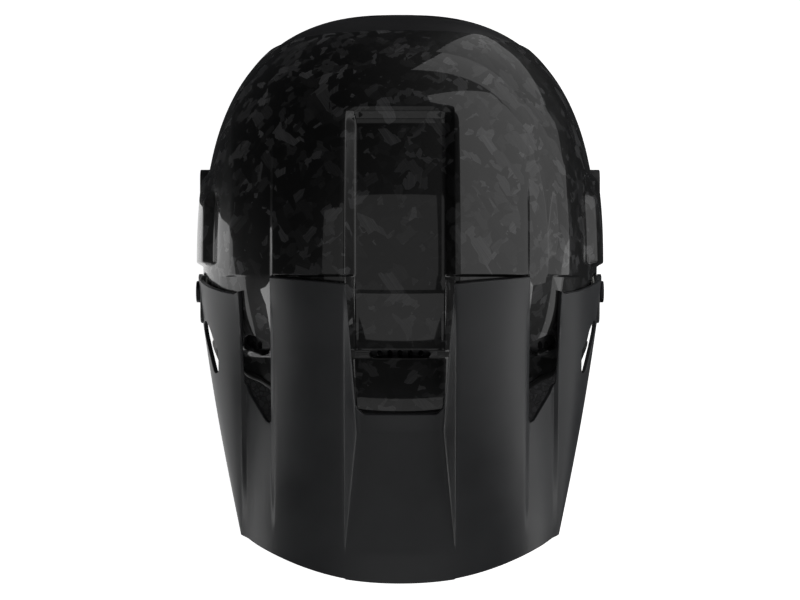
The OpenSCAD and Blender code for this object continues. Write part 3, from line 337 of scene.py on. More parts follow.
def to_slot(a, b, half, r, turn=0.0):
    """Signed distance from offsets in a plane to a slot turned by an angle from the first axis."""
    c, s = math.cos(turn), math.sin(turn)
    return np.hypot(np.clip(np.abs(c * a + s * b) - half, 0, None), c * b - s * a) - r


def rim_z(y):
    return 10 * smooth((y + 35) / 50) * smooth((110 - y) / 50)


def over_rim(p):
    return p[:, 2] - rim_z(p[:, 1]) - NECK_RISE


EYE_EDGE = refined(EYE_PATH)


def round_eyeport(p):
    return to_polygon(p[:, 1:], EYE_EDGE) - EYE_GROWTH


def before_cover(p, set_back=0.0):
    """Distance in front of the plane that parts the carbon from the rear cover."""
    y, z, slope = COVER_PLANE
    return (y + set_back + slope * (p[:, 2] - z) - p[:, 1]) / math.hypot(1, slope)


def round_mouth(p):
    z, pitch, half, r = MOUTH
    x = np.abs(p[:, 0])
    x = np.abs(x - pitch * (x > pitch / 2))
    return np.where(p[:, 1] < -90, to_slot(x, p[:, 2] - z, half, r), FAR)


def round_chin_vents(p):
    x, y, z, turn = CHIN_VENT
    run, rise, r = CHIN_SLOT
    turn = math.radians(turn)
    along = math.cos(turn) * (p[:, 1] - y) - math.sin(turn) * (np.abs(p[:, 0]) - x)
    slot = to_slot(along, p[:, 2] - z, math.hypot(run, rise), r, math.atan2(rise, run))
    return np.where((p[:, 1] < -40) & (p[:, 2] < 90), slot, FAR)


def round_brow(p):
    x, back, half, r, turn = BROW_SIDE
    mid = to_slot(p[:, 0], p[:, 1] - BROW_Y, *BROW_MID)
    side = to_slot(np.abs(p[:, 0]) - x, p[:, 1] - BROW_Y - back, half, r, math.radians(turn))
    return np.where(p[:, 2] > 170, np.minimum(mid, side), FAR)


def round_exhaust(p):
    x, y, z, turn = EXHAUST
    turn = math.radians(turn)
    slots = [to_slot(math.cos(turn) * (np.abs(p[:, 0]) - x - out) + math.sin(turn) * (p[:, 1] - y),
                     p[:, 2] - z + down, 9, 5) for out, down in ((0, 0), (8, 46))]
    return np.where(p[:, 1] > 60, np.minimum(*slots), FAR)


def round_port(p):
    y, z, half, r = PORT
    return np.where(np.abs(p[:, 0]) > 90, to_slot(p[:, 1] - y, p[:, 2] - z, half, r), FAR)


def round_pivot(p, r, at=PIVOT):
    return np.where(np.abs(p[:, 0]) > 90, np.hypot(p[:, 1] - at[0], p[:, 2] - at[1]) - r, FAR)


def shell_keep(p):
    return np.minimum.reduce([
        over_rim(p), round_eyeport(p), before_cover(p), round_mouth(p), round_chin_vents(p), round_brow(p),
        round_port(p), round_pivot(p, SHELL_PIVOT_R), round_pivot(p, ANCHOR_R, ANCHOR)])


def cover_keep(p):
    return np.minimum.reduce([over_rim(p), -before_cover(p, 0.25), round_exhaust(p)])


def visor_keep(p):
    flat = columns(np.abs(p[:, 0]), p[:, 1])
    holes = [to_polygon(flat, opening) - OPENING_R for opening in (CENTRE_OPENING, PANEL_OPENING, SIDE_SLOT)]
    return np.minimum.reduce([*holes, round_pivot(p, VISOR_PIVOT_R)])


# Meshes: trimmed patches of a rule, walls with rounded edges, swept beads

SNAP_SHARE = 0.32  # grid points nearer to the edge than this share of a step move onto it
BISECTIONS = 14
RIM_STEPS = 3
MERGE, CAD_MERGE = 2e-6, 5e-6  # metres within which doubles are merged
FLAT_DEGREES = 1.2


def vertex_normals(points, faces):
    """Area-weighted normals at the points of a mesh."""
    out = np.zeros_like(points)
    for f in map(list, faces):
        q = points[f]
        out[f] += np.cross(q, np.roll(q, -1, axis=0)).sum(axis=0)
    return unit_rows(out)


def trimmed_patch(rule, us, vs, keep, period=0.0):
    """A grid of a rule's surface, kept where keep(points) is positive: parameters and faces.
    Grid points near the edge move onto it, and faces across it are cut along it."""
    rows, cols = len(vs), len(us)
    U, V = np.tile(us, rows).astype(float), np.repeat(vs, cols).astype(float)
    F = keep(rule(U, V))
    idx = np.arange(rows * cols).reshape(rows, cols)
    best = np.full(rows * cols, SNAP_SHARE)
    move = np.zeros((rows * cols, 2))
    for di, dj in ((0, 1), (0, -1), (1, 0), (-1, 0)):
        src = idx[max(0, -di):rows - max(0, di), max(0, -dj):cols - max(0, dj)].ravel()
        dst = idx[max(0, di):rows + min(0, di), max(0, dj):cols + min(0, dj)].ravel()
        cross = (F[src] > 0) != (F[dst] > 0)
        src, dst = src[cross], dst[cross]
        t = F[src] / (F[src] - F[dst])
        near = t < best[src]
        src, dst, t = src[near], dst[near], t[near]
        best[src] = t
        move[src] = columns((U[dst] - U[src]) * t, (V[dst] - V[src]) * t)
    moved = best < SNAP_SHARE
    U[moved] += move[moved, 0]
    V[moved] += move[moved, 1]
    F[moved] = 0.0
    state = np.sign(F)
    cuts, faces = {}, []
    for i in range(rows - 1):
        if state[idx[i:i + 2]].max() <= 0:
            continue
        for j in range(cols if period else cols - 1):
            n = (j + 1) % cols
            quad = [idx[i, j], idx[i, n], idx[i + 1, n], idx[i + 1, j]]
            if state[quad].max() <= 0:
                continue
            ring = []
            for a, b in zip(quad, quad[1:] + quad[:1]):
                if state[a] >= 0:
                    ring.append(a)
                if state[a] * state[b] < 0:
                    ring.append(cuts.setdefault((min(a, b), max(a, b)), rows * cols + len(cuts)))
            if len(ring) >= 3:
                faces.append(ring)
    if cuts:
        a, b = np.array(list(cuts)).T
        ub = U[b]
        if period:
            ub = ub - period * np.round((ub - U[a]) / period)
        lo, hi = np.zeros(len(a)), np.ones(len(a))
        for _ in range(BISECTIONS):
            mid = (lo + hi) / 2
            same = (keep(rule(mix(U[a], ub, mid), mix(V[a], V[b], mid))) > 0) == (F[a] > 0)
            lo, hi = np.where(same, mid, lo), np.where(same, hi, mid)
        mid = (lo + hi) / 2
        U, V = np.append(U, mix(U[a], ub, mid)), np.append(V, mix(V[a], V[b], mid))
    used = np.unique(np.concatenate(faces))
    return U[used], V[used], [tuple(np.searchsorted(used, f).tolist()) for f in faces]


def border_of(faces):
    """Directed edges that only one face has."""
    edges = dict.fromkeys(edge for f in faces for edge in zip(f, f[1:] + f[:1]))
    return [(a, b) for a, b in edges if (b, a) not in edges]


def loops_of(border):
    """Ordered closed loops of directed border edges."""
    after = {}
    for a, b in border:
        after.setdefault(a, []).append(b)
    loops = []
    while after:
        start = next(iter(after))
        loop, at = [start], start
        while True:
            nxt = after[at].pop()
            if not after[at]:
                del after[at]
            if nxt == start or nxt not in after:
                break
            loop.append(nxt)
            at = nxt
        loops.append(loop)
    return loops


def walled(P, N, faces, t, r):
    """A wall of thickness t under the points P, with its outer rim rounded to r."""
    n = len(P)
    outer, inner = P.copy(), P - N * t
    out = list(faces) + [tuple(n + q for q in reversed(f)) for f in faces]
    border = border_of(faces)
    away = np.zeros_like(P)
    for a, b in border:
        side = np.cross(P[b] - P[a], N[a] + N[b])
        side /= max(np.linalg.norm(side), 1e-9)
        away[a] += side
        away[b] += side
    edge = np.unique(border)
    slot = {q: i for i, q in enumerate(edge.tolist())}
    up, base = N[edge], P[edge]
    d = unit_rows(away[edge])
    d -= up * np.sum(d * up, axis=1, keepdims=True)
    outer[edge] = base - d * r
    inner[edge] = base - d * r * 0.6 - up * t
    verts = [outer, inner]
    for s in range(1, RIM_STEPS + 1):
        a = math.pi / 2 * s / RIM_STEPS
        verts.append(base - d * r * (1 - math.sin(a)) - up * r * (1 - math.cos(a)))
    verts.append(base - up * (t - r * 0.6))
    rings = [edge, *(2 * n + len(edge) * k + np.arange(len(edge)) for k in range(RIM_STEPS + 1)), edge + n]
    for a, b in border:
        ia, ib = slot[a], slot[b]
        out += [(near[ib], near[ia], far[ia], far[ib]) for near, far in zip(rings, rings[1:])]
    return np.vstack(verts), out


def lofted(rings, capped=False):
    """Points and faces of a loft through closed rings, which runs round on itself or has end caps."""
    rings = np.asarray(rings, float)
    n, m = rings.shape[:2]
    faces = []
    for i in range(n - 1 if capped else n):
        a, b = i * m, (i + 1) % n * m
        faces += [(a + j, a + (j + 1) % m, b + (j + 1) % m, b + j) for j in range(m)]
    if capped:
        faces += [tuple(range(m))[::-1], tuple((n - 1) * m + j for j in range(m))]
    return rings.reshape(-1, 3), faces


def run_along(points):
    """How far along a line each of its points is."""
    return np.concatenate([[0], np.cumsum(np.linalg.norm(np.diff(points, axis=0), axis=1))])


def even_loop(points, step, *others):
    """A closed loop resampled at an even step and softened, with other values carried along."""
    along = run_along(np.vstack([points, points[:1]]))
    at = np.linspace(0, along[-1], max(8, int(round(along[-1] / step))), endpoint=False)
    out = []
    for values in (points, *others):
        ring = np.vstack([values, values[:1]])
        even = columns(*(np.interp(at, along, column) for column in ring.T))
        for _ in range(2):
            even = (np.roll(even, 1, axis=0) + 2 * even + np.roll(even, -1, axis=0)) / 4
        out.append(even)
    return out


def tangents(loop):
    return unit_rows(np.roll(loop, -1, axis=0) - np.roll(loop, 1, axis=0))


def swept_loop(points, normals, profile):
    """A profile of (outward, up) pairs swept round a closed loop that lies on a surface."""
    tangent = tangents(points)
    normals = unit_rows(normals - tangent * np.sum(normals * tangent, axis=1, keepdims=True))
    away = np.cross(tangent, normals)
    return lofted([[p + d * a + u * n for d, u in profile] for p, n, a in zip(points, normals, away)])


def joined(parts):
    """Several meshes of points and faces as one."""
    verts, faces, start = [], [], 0
    for v, f in parts:
        verts.append(v)
        faces += [tuple(int(i) + start for i in face) for face in f]
        start += len(v)
    return np.vstack(verts), faces


def mesh_of(name, verts, faces=(), edges=(), shift=LOCAL_Y):
    """A mesh from points in millimetres, moved from the cross line's Y to the frame's."""
    v = np.array(verts, float) * MM
    v[:, 1] += shift * MM
    mesh = bpy.data.meshes.new(name)
    mesh.from_pydata(v.tolist(), edges, [[int(i) for i in f] for f in faces])
    return mesh


def added(name, data):
    obj = bpy.data.objects.new(name, data)
    bpy.context.scene.collection.objects.link(obj)
    return obj


def placed(obj, finish, body=ROOT, node=None):
    """The object in its finish, riding on a body, in place of a construction node."""
    obj.data.materials.clear()
    obj.data.materials.append(finished(finish))
    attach(obj, body)
    if node:
        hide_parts(node)
    return obj


def made(name, solid, finish, body=ROOT, node=None, uv=None, weighted=False):
    """A placed object from the points and faces of a solid, with its doubles merged."""
    mesh = mesh_of(name, *solid)
    if uv is not None:
        layer = mesh.uv_layers.new(name="Skin")
        which = np.empty(len(mesh.loops), int)
        mesh.loops.foreach_get("vertex_index", which)
        layer.data.foreach_set("uv", (uv[which] * MM).ravel())
    bm = bmesh.new()
    bm.from_mesh(mesh)
    bmesh.ops.remove_doubles(bm, verts=bm.verts, dist=MERGE)
    bmesh.ops.recalc_face_normals(bm, faces=bm.faces)
    for f in bm.faces:
        f.smooth = True
    bm.to_mesh(mesh)
    bm.free()
    obj = added(name, mesh)
    if weighted:
        mod = obj.modifiers.new("Weighted", "WEIGHTED_NORMAL")
        mod.mode, mod.keep_sharp = "FACE_AREA", True
    return placed(obj, finish, body, node)


def dressed(node, finish, slot, bevel, body=ROOT, angle=32.0):
    """A merged copy of a construction node, with flat faces joined and edges rounded off."""
    mesh = bpy.data.objects[node].data.copy()
    bm = bmesh.new()
    bm.from_mesh(mesh)
    bmesh.ops.remove_doubles(bm, verts=bm.verts, dist=CAD_MERGE)
    bmesh.ops.dissolve_limit(bm, angle_limit=math.radians(FLAT_DEGREES), verts=bm.verts, edges=bm.edges)
    limit = math.radians(angle)
    for e in bm.edges:
        e.smooth = bool(bevel) or not (len(e.link_faces) == 2 and e.calc_face_angle(0) > limit)
    for f in bm.faces:
        f.smooth = True
    bm.to_mesh(mesh)
    bm.free()
    obj = added(f"{node}_finished", mesh)
    if bevel:
        mod = obj.modifiers.new("Edges", "BEVEL")
        mod.width, mod.segments = bevel * MM, 2
        mod.limit_method, mod.angle_limit = "ANGLE", limit
        mod.harden_normals = True
    return placed(obj, finish, body, node)


# Finishes

def times(colour, k):
    return tuple(c * k for c in colour)


class Finish:
    """A principled surface and the nodes that colour it."""

    def __init__(self, name, colour, rough, **sockets):
        self.mat = bpy.data.materials.new(name)
        self.mat.use_nodes = True
        self.tree = self.mat.node_tree
        self.shader = self.tree.nodes["Principled BSDF"]
        self.coords = self.tree.nodes.new("ShaderNodeTexCoord").outputs
        self.normal = None
        self.set(Base_Color=colour, Roughness=rough, **sockets)

    def put(self, socket, value):
        """Give a socket a link, a colour or a plain value."""
        if isinstance(value, bpy.types.NodeSocket):
            self.tree.links.new(value, socket)
        else:
            socket.default_value = (*value, 1) if socket.type == "RGBA" else value

    def set(self, **values):
        for key, value in values.items():
            self.put(self.shader.inputs[key.replace("_", " ")], value)

    def node(self, kind, *inputs, **values):
        n = self.tree.nodes.new(f"ShaderNode{kind}")
        for key, value in values.items():
            if hasattr(n, key):
                setattr(n, key, value)
            else:
                self.put(n.inputs[key.replace("_", " ")], value)
        for socket, value in zip(n.inputs, inputs):
            self.put(socket, value)
        return n

    def mapped(self, scale, turn=0.0, shift=(0, 0, 0), space="Object"):
        """Coordinates of a space, turned, then scaled by pattern repeats per metre."""
        turned = self.node("Mapping", Vector=self.coords[space], Rotation=(0, 0, turn), Location=shift)
        scale = scale if isinstance(scale, tuple) else (scale,) * 3
        return self.node("Mapping", Vector=turned.outputs[0], Scale=scale).outputs[0]

    def noise(self, scale, detail=3.0, turn=0.0, shift=(0, 0, 0)):
        at = self.mapped(scale, turn, shift)
        return self.node("TexNoise", Vector=at, Scale=1.0, Detail=detail, Roughness=0.55).outputs["Fac"]

    def wave(self, direction, at, distortion, scale=1.0, detail=2.0):
        return self.node("TexWave", wave_type="BANDS", bands_direction=direction, Vector=at, Scale=scale,
                         Distortion=distortion, Detail=detail).outputs["Fac"]

    def cells(self, **values):
        """Random red, green and blue of the cells of a pattern."""
        cell = self.node("TexVoronoi", **values)
        return self.node("SeparateColor", Color=cell.outputs["Color"]).outputs

    def maths(self, operation, a, b):
        return self.node("Math", a, b, operation=operation).outputs[0]

    def span(self, value, lo, hi, to_lo=0.0, to_hi=1.0):
        return self.node("MapRange", Value=value, From_Min=lo, From_Max=hi, To_Min=to_lo,
                         To_Max=to_hi).outputs["Result"]

    def blend(self, factor, a, b):
        n = self.node("Mix", data_type="RGBA")
        for i, value in ((0, factor), (6, a), (7, b)):
            self.put(n.inputs[i], value)
        return n.outputs[2]

    def bump(self, height, depth, strength):
        """A bump of a height between 0 and 1 that is depth metres high, over the earlier ones."""
        n = self.node("Bump", Strength=strength, Distance=depth, Height=height)
        if self.normal:
            self.put(n.inputs["Normal"], self.normal)
        self.normal = n.outputs["Normal"]
        self.set(Normal=self.normal)


CHIPS = ((0.35, 14, 8), (1.62, 12, 7), (-0.62, 10, 6), (2.35, 9, 5), (0.98, 12, 6.5))  # turn, length, width


def forged_carbon():
    """Chopped fibre chips that lie at every angle under clear lacquer."""
    f = Finish("Forged carbon", (0.03, 0.03, 0.032), 0.34, Coat_Weight=1.0, Coat_Roughness=0.025,
               Coat_IOR=1.52, Specular_IOR_Level=0.3)
    colour = None
    for layer, (turn, length, width) in enumerate(CHIPS):
        at = f.mapped((1000 / length, 1000 / width, 1000 / (width + 3)), turn,
                      (0.013 * layer, 0.029 * layer, 0.017 * layer))
        chip = f.cells(voronoi_dimensions="3D", distance="CHEBYCHEV", Vector=at, Scale=1.0, Randomness=0.95)
        fibre = f.noise((60, 2400, 60), 2.0, turn, (0.2, 0.3, 0))
        # Each chip's tone and its fibre streaks vary at random; their brightness also stands in for the sheen
        # of the fibres under the lacquer: painted sheen.
        chip_tone_and_sheen = f.maths("MULTIPLY", f.span(fibre, 0.3, 0.7, 0.55, 1.25),
                       f.span(f.maths("POWER", chip["Red"], 5.0), 0.0, 1.0, 0.0013, 0.055))
        shade = f.node("CombineColor", chip_tone_and_sheen, chip_tone_and_sheen, f.maths("MULTIPLY", chip_tone_and_sheen, 1.03)).outputs[0]
        on_top = f.maths("GREATER_THAN", chip["Green"], 0.62)
        colour = f.blend(on_top, colour, shade) if layer else shade
    grey = f.node("RGBToBW", colour).outputs[0]
    f.set(Base_Color=colour, Roughness=f.span(grey, 0.0, 0.06, 0.46, 0.3))
    f.bump(f.noise(38, 2.0), 0.00004, 0.35)
    return f.mat


def moulded(name, colour, rough, grain=2600.0, depth=0.00003, **sockets):
    """Moulded plastic with a fine spark-eroded grain and faint rubbing."""
    f = Finish(name, colour, rough, **sockets)
    broad = f.noise(24, 4.0)
    f.set(Roughness=f.span(broad, 0.3, 0.7, rough - 0.05, rough + 0.06),
          Base_Color=f.blend(f.span(broad, 0.3, 0.7), times(colour, 0.86), times(colour, 1.18)))
    f.bump(f.noise(grain, 2.0), depth, 0.5)
    return f.mat


def beaded_foam():
    """Expanded foam: pressed beads a few millimetres wide."""
    f = Finish("Beaded foam", (0.035, 0.035, 0.037), 0.7)
    bead = {"Vector": f.coords["Object"], "Scale": 340.0}
    edge = f.node("TexVoronoi", feature="DISTANCE_TO_EDGE", **bead)
    seam = f.span(edge.outputs["Distance"], 0.0, 0.12)
    shade = f.blend(f.cells(**bead)["Red"], (0.026, 0.026, 0.028), (0.055, 0.055, 0.058))
    f.set(Base_Color=f.blend(seam, (0.014, 0.014, 0.015), shade))
    f.bump(seam, 0.00022, 0.8)
    return f.mat


def pad_fabric(name, colour, pitch):
    """Brushed knit: fine ribs crossed by stitches, with a soft nap."""
    f = Finish(name, colour, 0.85, Sheen_Weight=0.5, Sheen_Roughness=0.4)
    at, scale = f.mapped(20), 50 / pitch
    knit = f.maths("MULTIPLY", f.wave("DIAGONAL", at, 1.2, scale), f.wave("Z", at, 0.8, scale, 1.0))
    groove_shade_and_wear = f.maths("ADD", knit, f.maths("MULTIPLY", f.noise(60), 0.5))
    # The colour is darker in the knit's grooves and lighter on its ribs, following the bump: painted shade
    # and painted highlight; the noise adds random worn patches.
    f.set(Base_Color=f.blend(f.span(groove_shade_and_wear, 0.1, 1.2), times(colour, 0.55), times(colour, 1.5)))
    f.bump(knit, 0.0002, 0.7)
    f.bump(f.noise(900), 0.0001, 0.5)
    return f.mat


def webbing():
    """Woven strap: ribs across the band and a herringbone of threads along it."""
    f = Finish("Strap webbing", (0.03, 0.03, 0.032), 0.75, Sheen_Weight=0.25, Sheen_Roughness=0.45)
    weave = f.maths("MULTIPLY", f.wave("X", f.mapped((420, 1, 1), space="UV"), 0.0),
                    f.wave("DIAGONAL", f.mapped((210, 230, 1), space="UV"), 0.3))
    # The colour is darker in the weave's low places and lighter on its ribs, following the bump: painted
    # shade and painted highlight.
    f.set(Base_Color=f.blend(weave, (0.012, 0.012, 0.013), (0.062, 0.062, 0.066)))
    f.bump(weave, 0.00025, 0.9)
    f.bump(f.noise(1500), 0.00006, 0.5)
    return f.mat


def turned_metal(name, colour, rough):
    """Metal with fine tool lines and handling marks."""
    f = Finish(name, colour, rough, Metallic=1.0)
    marks = f.noise(180, 5.0)
    f.set(Roughness=f.span(marks, 0.3, 0.7, rough - 0.08, rough + 0.12),
          Base_Color=f.blend(f.span(marks, 0.35, 0.65), times(colour, 0.85), colour))
    f.bump(f.noise((4000, 260, 260), 2.0), 0.00001, 0.4)
    return f.mat


# Short name: maker, then the finish's own name, colour and roughness or pitch
FINISHES = {
    "carbon": (forged_carbon,),
    "visor": (moulded, "Visor plastic", (0.03, 0.031, 0.033), 0.34),
    "cover": (moulded, "Cover plastic", (0.014, 0.014, 0.015), 0.4),
    "grille": (moulded, "Grille plastic", (0.014, 0.014, 0.015), 0.5),
    "rubber": (moulded, "Trim rubber", (0.012, 0.012, 0.012), 0.6, 1500.0, 0.00006),
    "foam": (beaded_foam,),
    "pad": (pad_fabric, "Pad fabric", (0.035, 0.035, 0.038), 1.1),
    "binding": (pad_fabric, "Pad binding", (0.02, 0.02, 0.022), 0.7),
    "webbing": (webbing,),
    "thread": (pad_fabric, "Sewing thread", (0.075, 0.075, 0.08), 0.5),
    "snap": (moulded, "Snap plastic", (0.05, 0.05, 0.052), 0.42),
    "buckle": (moulded, "Buckle plastic", (0.022, 0.022, 0.023), 0.38),
    "lever": (moulded, "Lever plastic", (0.42, 0.025, 0.018), 0.3),
    "washer": (moulded, "Washer plastic", (0.6, 0.6, 0.57), 0.4),
    "screw": (turned_metal, "Anodised screw", (0.05, 0.05, 0.055), 0.36),
    "nut": (turned_metal, "Turned aluminium", (0.62, 0.62, 0.64), 0.34),
    "steel": (turned_metal, "Plated steel", (0.55, 0.55, 0.57), 0.3),
}
EXTRAS = {"cover": {"Specular_IOR_Level": 0.35}, "lever": {"Coat_Weight": 0.4, "Coat_Roughness": 0.12}}


@functools.cache
def finished(name):
    """The material of a finish, made once."""
    maker, *values = FINISHES[name]
    return maker(*values, **EXTRAS.get(name, {}))


# Sizes and colours that a user would change

def length(name, default, description):
    return bpy.props.FloatProperty(name=name, description=description, default=default, unit="LENGTH",
                                   subtype="DISTANCE")


class ShellSizes(bpy.types.PropertyGroup):
    half_width: length("Half width", 0.121, "Half width of the shell at the ears")
    crown_height: length("Crown height", 0.252, "Height of the plain crown")
    rear_length: length("Rear length", 0.179, "From the cross line to the rear")
    chin_length: length("Chin length", 0.152, "From the cross line to the chin bar")
    wall: length("Wall", 0.003, "Thickness of the carbon shell")
    wing: length("Wing", 0.004, "How far the side wing stands out")
    ridge: length("Ridge height", 0.003, "How high the crown ridges stand")
    ridge_half_width: length("Ridge half width", 0.074, "Over a ridge's outer edge")
    channel_half_width: length("Channel half width", 0.0257, "Half of the channel's floor")
    channel_depth: length("Channel depth", 0.009, "Depth of the crown channel")
    cover_drop: length("Cover drop", 0.0012, "How far the rear cover lies under the shell")


class VisorSizes(bpy.types.PropertyGroup):
    front: length("Front", 0.166, "Length in front of the cross line")
    wall: length("Wall", 0.0026, "Thickness of the visor")
    fall: length("Fall", 0.05, "Drop from the rear edge to the tip")


class SoftSizes(bpy.types.PropertyGroup):
    pad: length("Pad thickness", 0.009, "Thickness of the comfort pads")
    cheek_pad: length("Cheek pad thickness", 0.025, "Thickness of a cheek pad")
    strap_width: length("Strap width", 0.021, "Width of the chin strap's webbing")
    strap_thickness: length("Strap thickness", 0.0016, "Thickness of the webbing")


class StageSizes(bpy.types.PropertyGroup):
    camera_height: length("Camera height", 1.75, "Height of the lens over the floor")
    lens: bpy.props.FloatProperty(name="Lens", description="Focal length in millimetres", default=118.98)
    floor_colour: bpy.props.FloatVectorProperty(name="Floor", description="Colour of the floor", size=3,
                                                subtype="COLOR", default=(0.9, 0.9, 0.9), min=0, max=1)


# Shell, cover and visor

def line_positions(counts, creases, support):
    """Positions between lines from the middle outwards, with supports beside the creases."""
    right = [k + i / n for k, n in enumerate(counts) for i in range(n)] + [len(counts)]
    for c in creases:
        right += [c - support, c + support]
    right = np.unique(np.round([r for r in right if 0 <= r <= len(counts)], 4))
    return np.concatenate([-right[:0:-1], right])


def thinned(values, least):
    """Sorted values with those nearer than the least distance left out."""
    out = []
    for v in np.sort(np.asarray(values, float)):
        if not out or v - out[-1] >= least:
            out.append(v)
    return np.array(out)


SHELL_COUNTS = (6, 6, 4, 8, 8, 3, 5, 5, 3, 3, 3, 5, 6, 4, 4, 4, 4, 4)
SHELL_CREASES = (2, 3, 5, 6, 8, 9, 10, 11, 15, 16)


SHELL_REAR = 176.0
POLE_CAP = 0.8  # near a pole the rows are so tight that their normals can turn over


def shell_rows(rule, front, rear):
    base = [rule.mid_y + (rule.rear - rule.mid_y) * np.sin(np.linspace(0, math.pi / 2, 58)),
            rule.mid_y - (rule.mid_y + rule.chin) * np.sin(np.linspace(0, math.pi / 2, 64))]
    dense = [np.arange(-36, -26, 0.8), np.arange(17, 23.5, 0.8), np.arange(57, 81, 1.6),
             np.arange(101, 115, 1.2)]
    joint = rule.joint_y + np.array([-0.9, -0.3, 0.3, 0.9])
    rows = thinned(np.concatenate(base + dense), 0.7)
    rows = rows[(np.abs(rows - rule.joint_y) > 1.2) & (rows >= front) & (rows <= rear)]
    ends = {-rule.chin: -rule.chin + np.array([0, 0.05, 0.12, 0.22, 0.36, 0.52]),
            rule.rear: rule.rear - np.array([0, 0.02, 0.08, 0.2, 0.4])}
    caps = [ends[e] for e in (front, rear) if e in ends]
    return np.unique(np.concatenate([rows, joint[(joint > front) & (joint < rear)], *caps]))


def flat_seat(p, x, r):
    """The points within r of a pivot, on both sides, moved in to flat seats at x."""
    near = np.hypot(p[:, 1] - PIVOT[0], p[:, 2] - PIVOT[1])
    side = np.abs(p[:, 0])
    level = mix(np.minimum(side, x), side, smooth(near - r + 0.4))
    moved = np.where((side > 90) & (near < r + 1), level, side)
    return columns(np.sign(p[:, 0]) * moved, p[:, 1], p[:, 2])


def shell_patch(rule, keep, front, rear, drop=0.0):
    """Points, normals and faces of a trimmed part of the shell's surface."""
    lines, last = line_positions(SHELL_COUNTS, SHELL_CREASES, 0.11), rule.lines - 1
    u, v, faces = trimmed_patch(rule.point, lines[:-1], shell_rows(rule, front, rear), keep, 2 * last)
    points = rule.point((u + last) % (2 * last) - last, v)
    normals = vertex_normals(points, faces)
    outward = np.sign(v)
    poles = ((v > rule.rear - POLE_CAP) | (v < -rule.chin + POLE_CAP)) & (normals[:, 1] * outward < 0.5)
    poles |= (v > rule.rear - 1e-6) | (v < -rule.chin + 1e-6)
    normals[poles] = columns(0, outward[poles], 0)
    return points - normals * drop, normals, faces


def seat_x(rule):
    return float(rule.surface_x(*PIVOT)) - 1


class HELMET_OT_shell(bpy.types.Operator):
    """Build the carbon shell with its ridges, channel, wings and vents"""
    bl_idname = "helmet.shell"
    bl_label = "Carbon shell"

    def execute(self, context):
        rule = ShellRule(context.scene.helmet_shell)
        points, normals, faces = shell_patch(rule, shell_keep, -rule.chin, SHELL_REAR)
        solid = walled(flat_seat(points, seat_x(rule), 11.0), normals, faces, rule.wall, 0.5)
        made("carbon_shell", solid, "carbon", node="outer_shell", weighted=True)
        return {"FINISHED"}


class HELMET_OT_cover(bpy.types.Operator):
    """Build the rear cover with its exhaust slots"""
    bl_idname = "helmet.cover"
    bl_label = "Rear cover"

    def execute(self, context):
        rule = ShellRule(context.scene.helmet_shell)
        patch = shell_patch(rule, cover_keep, 120.0, rule.rear, rule.cover_drop)
        made("rear_cover_moulding", walled(*patch, rule.wall - rule.cover_drop, 0.4), "cover",
             node="rear_cover", weighted=True)
        return {"FINISHED"}


VISOR_COUNTS = (10, 4, 5, 5, 5, 3, 3, 4, 3, 3, 3, 4, 4, 4)
VISOR_CREASES = (1, 2, 5, 6, 8, 9)
VISOR_SOFT = 0.07
EAR_BIG, EAR_SMALL, EAR_OFFSET = 10.0, 5.0, np.array((-14.0, 3.0))
EAR_HOLE, EAR_THICK = 4.1, 3.2


def hull_radius(angle):
    """Distance from the centre of an ear's big disc to the edge of the hull of its two discs."""
    direction = columns(np.cos(angle), np.sin(angle))
    best = np.full(len(angle), EAR_BIG)
    for t in np.linspace(0, 1, 60):
        c, r = EAR_OFFSET * t, mix(EAR_BIG, EAR_SMALL, t)
        along = direction @ c
        inside = r * r - (c @ c - along ** 2)
        best = np.maximum(best, np.where(inside > 0, along + np.sqrt(np.maximum(inside, 0)), 0))
    return best


def ear_plate(side, x):
    """Rounded plate round a pivot, with a hole for its shoulder."""
    a, t = full_turn(96), EAR_THICK
    edge, rings = hull_radius(a), []
    for share, drop, out in ((0, 0, 0.3), (0, 0, t - 0.3), (0, -0.3, t), (1, 0.9, t), (1, 0.25, t - 0.3),
                             (1, 0, t - 0.9), (1, 0, 0.5), (1, 0.4, 0), (0, -0.3, 0)):
        r = mix(EAR_HOLE, edge, share) - drop
        rings.append(columns(side * (x + out), PIVOT[0] + r * np.cos(a), PIVOT[1] + r * np.sin(a)))
    return lofted(rings)


class HELMET_OT_visor(bpy.types.Operator):
    """Build the visor with its strips, recess, panels, side slots and ears"""
    bl_idname = "helmet.visor"
    bl_label = "Visor"

    def execute(self, context):
        shell = ShellRule(context.scene.helmet_shell)
        rule = VisorRule(shell, context.scene.helmet_visor)

        def soft(u, v):
            a, b, c = (rule.point(u + off, v) for off in (-VISOR_SOFT, 0.0, VISOR_SOFT))
            return 0.25 * a + 0.5 * b + 0.25 * c

        u_max = rule.last - VISOR_SOFT
        lines = np.unique(np.clip(line_positions(VISOR_COUNTS, VISOR_CREASES, 0.09), -u_max, u_max))
        rows = np.unique(np.concatenate([np.linspace(0, 1, 78), (0.004, 0.4975, 0.5075, 0.996)]))[::-1]
        u, v, faces = trimmed_patch(soft, lines, rows, visor_keep)
        points = soft(u, v)
        sheet = walled(points, vertex_normals(points, faces), faces, rule.wall, 0.55)
        plates = [ear_plate(side, seat_x(shell) + 0.85) for side in (-1, 1)]
        made("visor_peak", joined([sheet, *plates]), "visor", "visor", "visor",
             weighted=True)
        for side in ("left", "right"):
            dressed(f"visor_bumper_{side}", "rubber", "trim_rubber", 0.4, "visor")
        return {"FINISHED"}


class HELMET_OT_liners(bpy.types.Operator):
    """Build the foam liners"""
    bl_idname = "helmet.liners"
    bl_label = "Foam liners"

    def execute(self, context):
        for node in ("impact_liner", "chin_liner"):
            dressed(node, "foam", "liner_foam", 0, angle=38)
        return {"FINISHED"}


